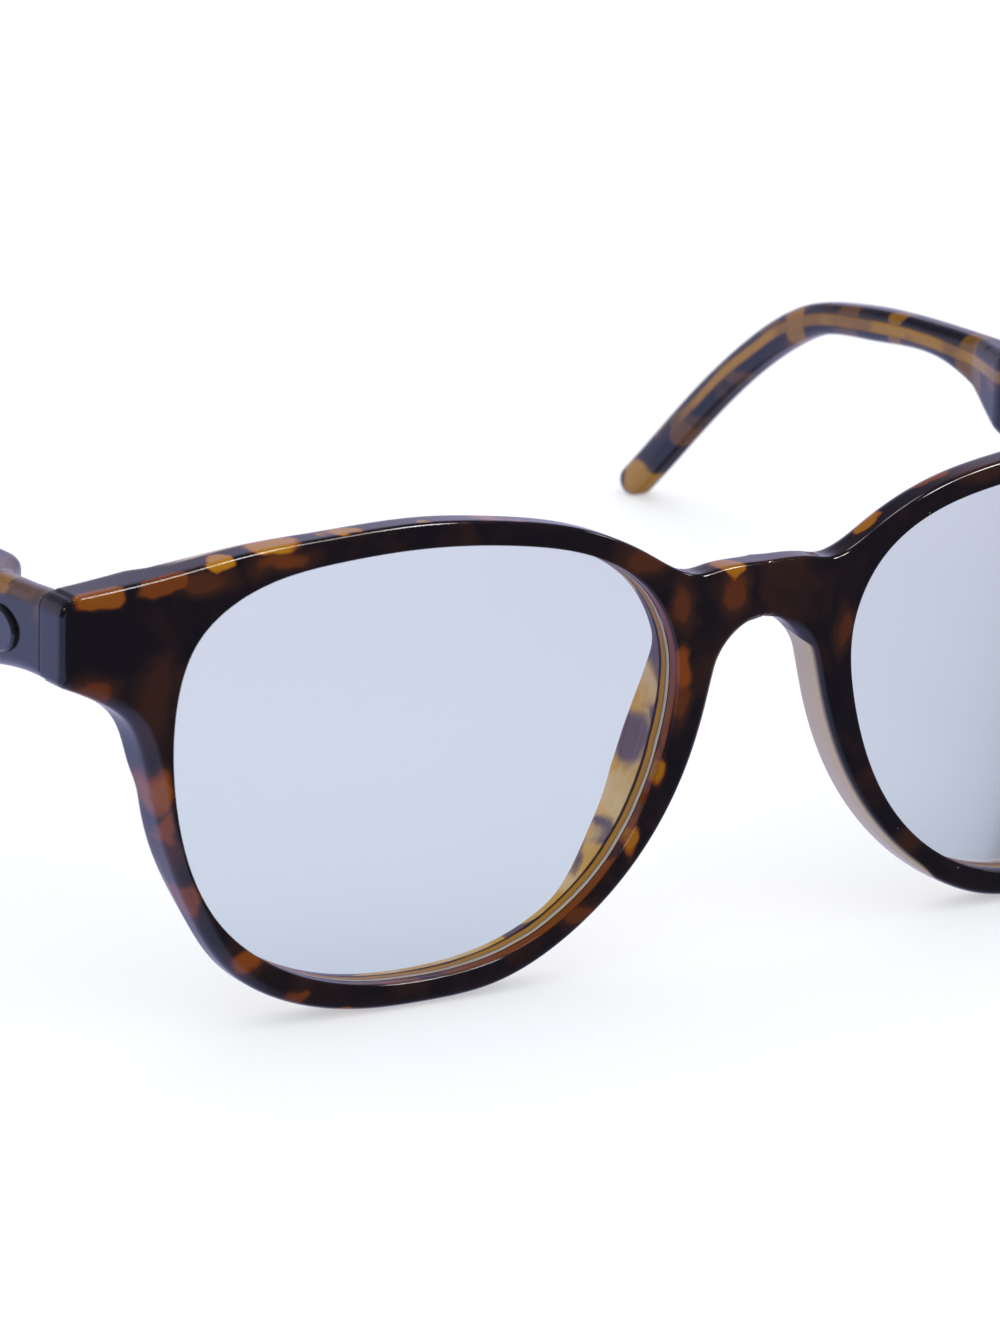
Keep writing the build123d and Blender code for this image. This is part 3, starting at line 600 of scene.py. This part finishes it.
def behind_face(n, where):
    """The place with y measured from the bowed face of the front."""
    x, y, z = parts_of(n, where)
    bow = n.math("DIVIDE", n.math("MULTIPLY", x, x), 2 * FACE_RADIUS)
    node = n.add("CombineXYZ")
    for value, socket in zip((x, n.math("SUBTRACT", y, bow), z), node.inputs):
        n.link(value, socket)
    return node.outputs[0]


def front_material():
    """Laminated acetate: dark tortoiseshell in front, a pale milky layer behind it."""
    n = Look("tortoise_front")
    where = n.place()
    laid = behind_face(n, where)
    moved = wandering(n, laid, 1.0)
    cloud = n.noise(moved, 0.10, 2, 0.55, 0.4, (4, 11, 2)).outputs["Fac"]
    haze = n.noise(moved, 0.28, 3, 0.6, 0.5, (19, 5, 8)).outputs["Fac"]
    pattern = n.math("ADD", n.span(cloud, 0.50, 0.68, 0.0, 0.18), n.span(haze, 0.42, 0.75, 0.0, 0.10))
    pattern = n.math("MAXIMUM", pattern, patches(n, moved, FRONT_SOFT, 0.6))
    pattern = n.math("MAXIMUM", pattern, patches(n, moved, FRONT_PATCHES, 0.5))
    pattern = n.math("MAXIMUM", pattern, patches(n, moved, TOP_PATCHES, 0.2))
    pattern = n.math("MULTIPLY", pattern, n.math("SUBTRACT", 1.0, patches(n, moved, FRONT_DARK, 0.35)))
    wall = n.add("Attribute", attribute_name="wall").outputs["Fac"]
    inside = n.span(n.noise(moved, 0.16, 2, 0.5, 0.5, (31, 9, 4)).outputs["Fac"], 0.36, 0.46, 0.32, 0.58)
    pattern = n.math("MAXIMUM", pattern, n.math("MULTIPLY", wall, inside))
    # The pale layer starts a set depth behind the face, nearer to it beside the nose
    x, depth, z = parts_of(n, laid)
    by_nose = n.math("MULTIPLY", n.span(n.math("ABSOLUTE", x), 28.0, 18.0), n.span(z, 8.0, 5.0))
    by_nose = n.math("MULTIPLY", by_nose, n.math("SUBTRACT", 1.0, wall))
    behind = n.span(n.math("SUBTRACT", depth, n.span(by_nose, 0.0, 1.0, REAR_LAYER, NOSE_LAYER)), -0.2, 0.2)
    behind = n.math("MULTIPLY", behind, n.span(n.math("ABSOLUTE", x), 61.0, 57.0))
    veil = n.noise(moved, 0.22, 2, 0.5, 0.3, (3, 27, 14)).outputs["Fac"]
    rear = n.add("Attribute", attribute_name="rear").outputs["Fac"]
    milky = n.mix(n.span(veil, 0.35, 0.62), BEIGE, STRAW)
    blot = n.noise(moved, 0.13, 2, 0.5, 0.4, (45, 2, 9)).outputs["Fac"]
    stain = n.math("MAXIMUM", n.span(blot, 0.55, 0.60, 0.0, 0.9), patches(n, moved, PAD_PATCHES, 0.3))
    pale = n.math("SUBTRACT", 1.0, patches(n, moved, PAD_PALE, 0.3))
    milky = n.mix(n.math("MULTIPLY", stain, pale), milky, PURPLE)
    milky = n.mix(rear, PEARL, milky)
    n.set(Base_Color=dusted(n, where, n.mix(behind, shades(n, pattern), milky)))
    polish(n, where, n.math("MAXIMUM", pattern, n.math("MULTIPLY", behind, 0.7)))
    return n.material


ARM_SHADES = (
    linear(14, 11, 18), linear(48, 30, 17), linear(84, 54, 16), linear(122, 84, 6), linear(144, 104, 2))


def arm_material(name, blobs, dark, seed):
    """Tortoiseshell arm with its core wire glowing through as a yellow line."""
    n = Look(name)
    where = n.place()
    moved = wandering(n, where, 1.0, seed)
    cloud = n.noise(moved, 0.11, 2, 0.5, 0.5, seed).outputs["Fac"]
    haze = n.noise(moved, 0.35, 3, 0.6, 0.5, seed).outputs["Fac"]
    pattern = n.math("ADD", n.span(cloud, 0.54, 0.60, 0.0, 0.34), n.span(haze, 0.4, 0.75, 0.0, 0.12))
    pattern = n.math("MAXIMUM", pattern, patches(n, moved, blobs, 0.2))
    pattern = n.math("MULTIPLY", pattern, n.math("SUBTRACT", 1.0, patches(n, moved, dark, 0.2)))
    x, y, z = parts_of(n, where)
    line = n.add("FloatCurve")
    curve = line.mapping.curves[0]
    first, last = WIRE_LINE[0][0], WIRE_LINE[-1][0]
    low, high = -10.0, 20.0
    points = [((py - first) / (last - first), (pz - low) / (high - low)) for py, pz in WIRE_LINE]
    while len(curve.points) < len(points):
        curve.points.new(0.5, 0.5)
    for point, (a, b) in zip(curve.points, points):
        point.location = (a, b)
    line.mapping.update()
    n.link(n.span(y, first, last, smooth=False), line.inputs["Value"])
    height = n.math("ADD", n.math("MULTIPLY", line.outputs[0], high - low), low)
    off = n.math("ABSOLUTE", n.math("SUBTRACT", z, height))
    glow = n.span(off, 1.0, 0.45, 0.0, 1.0)
    glow = n.math("MULTIPLY", glow, n.span(y, first - 1.5, first + 1.0))
    glow = n.math("MULTIPLY", glow, n.span(y, last - 1.0, last - 3.5))
    fade = n.span(n.noise(moved, 0.14, 1, 0.5, 0.0, (5, 5, 5)).outputs["Fac"], 0.40, 0.55, 0.72, 0.95)
    pattern = n.math("MAXIMUM", pattern, n.math("MULTIPLY", glow, fade))
    n.set(Base_Color=dusted(n, where, shades(n, pattern, ARM_SHADES)))
    polish(n, where, pattern)
    return n.material


def dress(nodes, material):
    for node in nodes:
        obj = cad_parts[node]
        if not obj.material_slots:
            obj.data.materials.append(material)
        for s in obj.material_slots:
            s.material = material


# Each patch is its centre, radii and strength. x is negative on the wearer's right.
# y is the depth behind the face on the front, and the place along the arm on the arms.
DEEP = 5.0
TOP_PATCHES = [
    ((-67.2, 0.2, 18.0), (2.4, 1.5, 1.5), 0.62),
    ((-61.6, 0.0, 18.5), (2.6, 1.1, 1.3), 0.50),
    ((-56.6, 0.9, 20.0), (1.2, 1.5, 1.0), 0.95),
    ((-51.2, 1.3, 21.2), (2.8, 2.1, 1.1), 0.95),
    ((-44.6, 1.2, 21.8), (2.1, 1.7, 0.8), 0.92),
    ((-36.4, 0.8, 21.9), (1.1, 0.8, 0.4), 0.85),
    ((-27.0, 2.2, 21.3), (4.2, 2.4, 0.6), 0.74),
    ((-18.0, 3.4, 19.4), (5.5, 1.6, 1.2), 0.58),
    ((-3.9, 1.2, 14.4), (1.5, 2.6, 1.1), 0.80),
    ((12.2, 2.3, 16.0), (3.4, 1.1, 1.0), 0.74),
    ((19.5, 2.6, 19.3), (6.0, 1.0, 1.0), 0.52),
    ((40.5, 1.5, 21.6), (2.4, 2.4, 1.0), 0.90),
    ((52.0, 1.5, 20.0), (1.8, 2.4, 1.2), 0.70),
    ((65.0, 0.6, 17.8), (2.6, 1.8, 1.6), 0.62),
]
FRONT_PATCHES = [
    ((-9.2, 0.5, 5.2), (1.0, DEEP, 2.4), 0.55),
    ((-11.6, 0.5, -3.8), (0.7, DEEP, 1.8), 0.76),
    ((-14.4, 0.5, -10.4), (0.8, DEEP, 1.5), 0.76),
    ((-61.9, 0.5, 0.2), (1.3, DEEP, 2.3), 0.60),
    ((-60.9, 0.5, -3.0), (0.7, DEEP, 2.2), 0.52),
    ((-59.1, 0.5, -10.2), (1.2, DEEP, 1.9), 0.48),
    ((-53.2, 0.5, -16.3), (1.7, DEEP, 1.3), 0.56),
    ((-48.3, 0.5, -20.4), (1.2, DEEP, 0.7), 0.45),
    ((-43.3, 0.5, -22.8), (1.9, DEEP, 0.5), 0.80),
    ((61.5, 0.5, -1.5), (1.3, DEEP, 2.6), 0.55),
    ((52.0, 0.5, -17.4), (2.0, DEEP, 1.2), 0.58),
    ((36.0, 0.5, -22.3), (1.8, DEEP, 0.8), 0.70),
]
FRONT_SOFT = [
    ((-68.2, 0.5, 9.8), (2.4, DEEP, 1.7), 0.42),
    ((-62.4, 0.5, 9.5), (1.7, DEEP, 5.5), 0.30),
    ((-58.0, 0.5, 18.4), (3.4, DEEP, 1.3), 0.36),
    ((-50.5, 0.5, 19.6), (3.2, DEEP, 1.2), 0.44),
    ((-3.8, 0.5, 12.0), (1.6, DEEP, 2.4), 0.40),
    ((-13.5, 0.5, 15.8), (3.4, DEEP, 1.8), 0.36),
    ((-9.4, 0.5, 11.0), (1.6, DEEP, 2.6), 0.38),
    ((-9.6, 0.5, 3.0), (1.4, DEEP, 3.0), 0.40),
    ((-19.5, 0.5, -16.6), (2.2, DEEP, 1.3), 0.40),
    ((-61.0, 0.5, -6.0), (1.4, DEEP, 3.0), 0.32),
    ((8.8, 0.5, 6.7), (1.0, DEEP, 2.4), 0.36),
    ((24.0, 0.5, 20.4), (4.0, DEEP, 1.2), 0.30),
    ((17.5, 0.5, -15.0), (1.6, DEEP, 1.6), 0.30),
    ((66.0, 0.5, 10.0), (3.0, DEEP, 3.0), 0.34),
]
FRONT_DARK = [
    ((-64.5, 0.0, 17.6), (0.5, DEEP, 2.4), 0.9),
    ((-66.2, 0.5, 13.6), (5.0, DEEP, 2.4), 1.0),
]
PAD_PATCHES = [
    ((-11.3, 5.5, -1.9), (2.0, 3.0, 2.7), 0.9),
    ((-11.4, 5.5, -8.8), (1.0, 1.6, 1.4), 1.0),
    ((-14.4, 5.5, -13.4), (1.3, 2.2, 1.6), 0.9),
    ((-7.4, 5.5, 8.0), (1.6, 2.4, 1.8), 0.9),
    ((24.0, 4.4, 19.6), (4.0, 2.6, 1.8), 0.8),
]
PAD_PALE = [
    ((-10.4, 5.5, 2.8), (2.6, 2.6, 2.2), 1.0),
    ((-13.2, 5.5, -6.2), (2.8, 2.6, 1.6), 1.0),
    ((-13.2, 5.5, -11.2), (3.0, 2.6, 1.3), 1.0),
    ((10.0, 5.0, -2.4), (5.0, 3.5, 9.0), 1.0),
]
REAR_LAYER = 3.0
NOSE_LAYER = 0.4
ARM_X = 68.5
WIDE = 8.0
LEFT_ARM_PATCHES = [
    ((ARM_X, 119.8, -10.4), (WIDE, 3.4, 3.0), 1.0),
    ((ARM_X, 112.0, -2.6), (WIDE, 1.8, 2.4), 0.55),
    ((ARM_X, 103.6, 6.6), (WIDE, 8.0, 1.5), 0.46),
    ((ARM_X, 96.0, 13.0), (WIDE, 4.0, 1.3), 0.50),
    ((ARM_X, 89.8, 14.4), (WIDE, 1.8, 4.0), 0.78),
    ((ARM_X, 80.0, 16.5), (WIDE, 1.9, 4.0), 0.50),
    ((ARM_X, 71.6, 16.8), (WIDE, 1.4, 4.0), 0.72),
    ((ARM_X, 58.4, 16.2), (WIDE, 1.9, 3.0), 0.62),
    ((ARM_X, 56.0, 12.9), (WIDE, 1.7, 3.0), 0.60),
]
LEFT_ARM_DARK = [
    ((ARM_X, 115.8, -6.4), (WIDE, 1.5, 2.2), 1.0),
    ((ARM_X, 104.0, 1.0), (WIDE, 6.0, 1.8), 0.95),
    ((ARM_X, 97.0, 7.6), (WIDE, 5.0, 1.6), 0.95),
    ((ARM_X, 85.2, 14.0), (WIDE, 2.6, 1.5), 1.0),
    ((ARM_X, 85.4, 18.4), (WIDE, 2.8, 0.8), 0.9),
    ((ARM_X, 75.8, 14.3), (WIDE, 2.4, 1.2), 0.9),
    ((ARM_X, 75.6, 18.4), (WIDE, 2.4, 1.0), 0.9),
    ((ARM_X, 65.0, 19.0), (WIDE, 5.0, 1.8), 0.95),
    ((ARM_X, 66.0, 13.6), (WIDE, 4.6, 1.5), 0.95),
    ((ARM_X, 49.0, 17.5), (WIDE, 6.4, 2.0), 1.0),
    ((ARM_X, 48.6, 10.6), (WIDE, 5.2, 3.4), 1.0),
]
RIGHT_ARM_PATCHES = [
    ((-ARM_X, 14.0, 17.8), (WIDE, 9.0, 1.4), 0.42),
    ((-ARM_X, 14.6, 17.3), (WIDE, 1.8, 0.8), 0.72),
    ((-ARM_X, 27.0, 12.0), (WIDE, 3.0, 3.2), 0.58),
    ((-ARM_X, 47.0, 15.0), (WIDE, 3.6, 2.8), 0.70),
    ((-ARM_X, 73.0, 16.0), (WIDE, 2.4, 3.6), 0.75),
    ((-ARM_X, 92.0, 12.0), (WIDE, 3.0, 3.6), 0.80),
    ((-ARM_X, 104.0, 3.0), (WIDE, 3.4, 3.2), 0.55),
    ((-ARM_X, 118.0, -9.0), (WIDE, 3.0, 3.0), 0.85),
]
RIGHT_ARM_DARK = [
    ((-ARM_X, 12.0, 12.6), (WIDE, 8.0, 3.6), 1.0),
    ((-ARM_X, 36.0, 13.0), (WIDE, 4.0, 4.0), 1.0),
    ((-ARM_X, 60.0, 16.0), (WIDE, 5.0, 3.0), 0.9),
    ((-ARM_X, 83.0, 17.0), (WIDE, 4.0, 2.4), 0.9),
    ((-ARM_X, 112.0, -3.0), (WIDE, 2.6, 3.0), 0.9),
]
# The core wire in the arm: place along the arm and height
WIRE_LINE = [
    (45.0, 15.6), (56.5, 16.0), (66.0, 16.6), (76.5, 16.3), (87.6, 14.85), (98.8, 9.05), (110.3, 0.15),
    (114.5, -3.4),
]

front.data.materials.append(front_material())
left_look = arm_material("tortoise_arm_left", LEFT_ARM_PATCHES, LEFT_ARM_DARK, (2, 7, 3))
right_look = arm_material("tortoise_arm_right", RIGHT_ARM_PATCHES, RIGHT_ARM_DARK, (9, 4, 6))
dress(["arm_housing_left", "arm_cover_left"], left_look)
dress(["arm_housing_right", "arm_cover_right"], right_look)


def lens_material():
    """Clear sheet with a faint tint, split between its two faces, and a weak mirror."""
    n = Look("lens_clear")
    clear = n.add("BsdfTransparent")
    where = n.place()
    tone = n.span(parts_of(n, where)["Z"], -18.0, 18.0)
    once = [tuple(math.sqrt(c) for c in linear(*shade)) for shade in ((209, 218, 231), (206, 211, 225))]
    tint = n.mix(tone, *once)
    n.link(tint, clear.inputs["Color"])
    shine = n.add("BsdfGlossy")
    shine.inputs["Roughness"].default_value = 0.02
    glint = n.add("Fresnel")
    glint.inputs["IOR"].default_value = 1.45
    mixer = n.add("MixShader")
    n.link(n.math("MULTIPLY", glint.outputs[0], 0.55), mixer.inputs[0])
    n.link(clear.outputs[0], mixer.inputs[1])
    n.link(shine.outputs[0], mixer.inputs[2])
    n.link(mixer.outputs[0], n.output.inputs["Surface"])
    return n.material


dress(["lens_left", "lens_right"], lens_material())


def plain(name, colour, rough=0.4, metal=0.0, grain=2.0, depth=0.00002, spread=0.25, coat=0.0):
    """A finish with mottling, uneven gloss and a fine grain."""
    n = Look(name)
    where = n.place()
    mottle = n.noise(where, 0.6, 3, 0.6).outputs["Fac"]
    dim = tuple(c * (1 - spread) for c in colour)
    lit = tuple(min(1.0, c * (1 + spread)) for c in colour)
    n.set(Base_Color=n.ramp(mottle, [(0.3, dim), (0.7, lit)]), Metallic=metal)
    fine = n.noise(where, grain, 4, 0.6).outputs["Fac"]
    n.set(Roughness=n.span(fine, 0.3, 0.7, max(0.02, rough * 0.8), min(1.0, rough * 1.2)), Coat_Weight=coat)
    n.set(Normal=n.bump(fine, depth, 0.4))
    return n.material


def both(name):
    return [name + "_left", name + "_right"]


hinge_steel = plain("hinge_steel", linear(178, 172, 160), 0.28, 1.0, 3.0)
dress(both("hinge_front_leaf") + both("hinge_arm_leaf"), hinge_steel)
dress(both("hinge_screw"), plain("screw_steel", linear(160, 156, 150), 0.25, 1.0, 4.0))
dress(both("cover_screws"), plain("screw_black", linear(52, 50, 54), 0.3, 1.0, 4.0))
dress(both("cover_gasket"), plain("gasket_rubber", linear(24, 24, 25), 0.7, 0.0, 6.0))
dress(both("core_wire"), plain("core_metal", linear(200, 160, 60), 0.3, 1.0))
dress(both("plaque"), plain("plaque_black", linear(20, 20, 22), 0.12, coat=0.6))
dress(both("battery"), plain("battery_wrap", linear(150, 155, 160), 0.35, 0.6))
dress(both("circuit_board"), plain("board_green", linear(20, 90, 50), 0.4))
dress(both("speaker"), plain("speaker_black", linear(30, 30, 32), 0.5))
dress(both("speaker_mesh"), plain("mesh_steel", linear(70, 70, 74), 0.35, 1.0))
dress(both("speaker_lead"), plain("lead_amber", linear(190, 110, 30), 0.35))
dress(both("microphone"), plain("microphone_can", linear(190, 190, 186), 0.3, 1.0))
dress(["volume_rocker", "action_button"], plain("button_plastic", linear(36, 26, 26), 0.16, coat=0.4))
dress(["rocker_switches", "action_switch"], plain("switch_black", linear(30, 30, 30), 0.5))
dress(["charging_contacts"], plain("contact_gold", linear(230, 180, 90), 0.18, 1.0))
dress(["charging_magnet"], plain("magnet_nickel", linear(200, 200, 200), 0.2, 1.0))
dress(["status_light"], plain("light_diffuser", linear(225, 225, 220), 0.6))

edge = Look("lens_edge")
edge_noise = edge.noise(edge.place(), 0.22, 2, 0.5).outputs["Fac"]
across = edge.add("Attribute", attribute_name="across").outputs["Fac"]
across = edge.math("ADD", across, edge.span(edge_noise, 0.3, 0.7, -0.06, 0.06))
# Bands across the lens edge from front to back: the pale band is the lens's ground edge with a painted
# highlight on it, and the dark end at the back is painted shadow in the groove behind the lens.
pale, gold, dark = linear(188, 176, 152), linear(190, 128, 14), linear(24, 16, 14)
edge_colour_and_painted_light = edge.ramp(across, [
    (0.0, gold), (0.08, linear(208, 198, 178)), (0.26, pale), (0.36, linear(120, 84, 40)), (0.46, gold),
    (0.80, gold), (0.88, dark), (1.0, dark)])
# The emission is a painted glow that lightens the lens edge where it sits in shade.
edge.set(Base_Color=edge_colour_and_painted_light, Roughness=0.3, Emission_Color=edge_colour_and_painted_light, Emission_Strength=0.12)
for piece in lens_edges:
    piece.data.materials.append(edge.material)

# ---- Stage -----------------------------------------------------------------------------

tip_low, tip_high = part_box("arm_housing_left")
touch_y = 2.0 * MM
slope = math.atan2(tip_low[2] - front_low[2], tip_high[1] - 3 * MM - touch_y)
floor_mesh = bpy.data.meshes.new("floor")
half = 3.0
corners = [(-half, -half, 0), (half, -half, 0), (half, half, 0), (-half, half, 0)]
floor_mesh.from_pydata(corners, [], [(0, 1, 2, 3)])
floor = bpy.data.objects.new("floor", floor_mesh)
bpy.context.collection.objects.link(floor)
floor.rotation_euler = (slope, 0, 0)
floor.location = (0, touch_y, front_low[2] - 0.05 * MM)
floor_look = Look("floor_white")
floor_look.set(Base_Color=(0.43, 0.43, 0.435), Roughness=0.9, Specular_IOR_Level=0.1)
floor_look.set(Emission_Color=(1.0, 1.0, 1.0), Emission_Strength=0.46)
floor_mesh.materials.append(floor_look.material)
floor.visible_glossy = False


# Lamps that only the gloss mirrors: direction, radius in degrees, brightness
LAMPS = [
    ((0.24, -0.27, 0.93), 4.5, 22.0),
    ((0.36, -0.25, 0.90), 4.5, 10.0),
    ((0.48, -0.24, 0.85), 4.5, 26.0),
    ((0.82, 0.04, 0.57), 3.0, 9.0),
    ((-0.75, -0.35, 0.56), 5.0, 8.0),
    ((0.1, 0.6, 0.8), 6.0, 4.0),
]


def build_studio():
    """Soft even light, with a room for the gloss to mirror: pale table behind, dark in front, lamps."""
    world = bpy.data.worlds.new("studio")
    world.use_nodes = True
    bpy.context.scene.world = world
    n = Nodes(world.node_tree)
    background = n.tree.nodes["Background"]
    towards = n.add("TexCoord").outputs["Generated"]
    x, y, z = parts_of(n, towards)
    low_wall = n.math("MULTIPLY", n.span(y, 0.15, 0.7), n.span(z, 0.62, 0.22))
    room = n.mix(low_wall, (0.115, 0.105, 0.15), (0.52, 0.50, 0.74))
    table = n.math("MULTIPLY", n.span(z, -0.04, -0.16), n.span(x, 0.25, -0.25))
    room = n.mix(table, room, (0.50, 0.55, 0.98))

    def lamp(direction, size, glow, edge=0.3):
        axis = Vector(direction).normalized()
        node = n.add("VectorMath", operation="DOT_PRODUCT")
        n.link(towards, node.inputs[0])
        node.inputs[1].default_value = axis
        spread = math.radians(size)
        inside = n.span(node.outputs["Value"], math.cos(spread * (1 + edge)), math.cos(spread * (1 - edge)))
        return n.mix(inside, (0, 0, 0), tuple(glow * c for c in (1.0, 0.98, 0.96)))

    for direction, size, glow in LAMPS:
        room = n.mix(1.0, room, lamp(direction, size, glow), "ADD")
    path = n.add("LightPath")
    seen = n.mix(path.outputs["Is Glossy Ray"], (1.18, 1.22, 1.31), room)
    seen = n.mix(path.outputs["Is Camera Ray"], seen, (1.0, 1.0, 1.0))
    n.link(seen, background.inputs["Color"])
    background.inputs["Strength"].default_value = 1.0


build_studio()

key_light = bpy.data.lights.new("key", "AREA")
key_light.shape = "RECTANGLE"
key_light.size = key_light.size_y = 1.5
key_light.energy = 5.0
key_light.color = (1.0, 0.99, 0.97)
key_light.specular_factor = 0.0
key = bpy.data.objects.new("key", key_light)
bpy.context.collection.objects.link(key)
key.location = (-0.1, 0.05, 1.1)
aim = Vector((0, 0.05, 0)) - key.location
key.rotation_euler = aim.to_track_quat("-Z", "Y").to_euler()
key.visible_glossy = False

# ---- Camera ----------------------------------------------------------------------------

PHOTO_HEIGHT = 1334
FOCAL_PIXELS = 5200
azimuth = math.radians(-33.0)
elevation = math.radians(15.03866)
roll = math.radians(1.41290)
flat = math.cos(elevation)
back = Vector((math.sin(azimuth) * flat, -math.cos(azimuth) * flat, math.sin(elevation)))
right = Vector((0, 0, 1)).cross(back).normalized()
up = back.cross(right)
level_right, level_up = right.copy(), up.copy()
right = math.cos(roll) * level_right + math.sin(roll) * level_up
up = math.cos(roll) * level_up - math.sin(roll) * level_right
camera_data = bpy.data.cameras.new("camera")
camera_data.sensor_fit = "VERTICAL"
camera_data.sensor_height = 36.0
camera_data.lens = FOCAL_PIXELS * camera_data.sensor_height / PHOTO_HEIGHT
camera_data.clip_start = 0.01
camera_data.dof.use_dof = True
camera_data.dof.focus_object = front
camera_data.dof.aperture_fstop = 80
camera = bpy.data.objects.new("camera", camera_data)
bpy.context.collection.objects.link(camera)
turn = Matrix((right, up, back)).transposed().to_4x4()
turn.translation = Vector((-270.72, -372.15, 127.10)) * MM
camera.matrix_world = turn
bpy.context.scene.camera = camera
bpy.context.scene.view_settings.view_transform = "Standard"
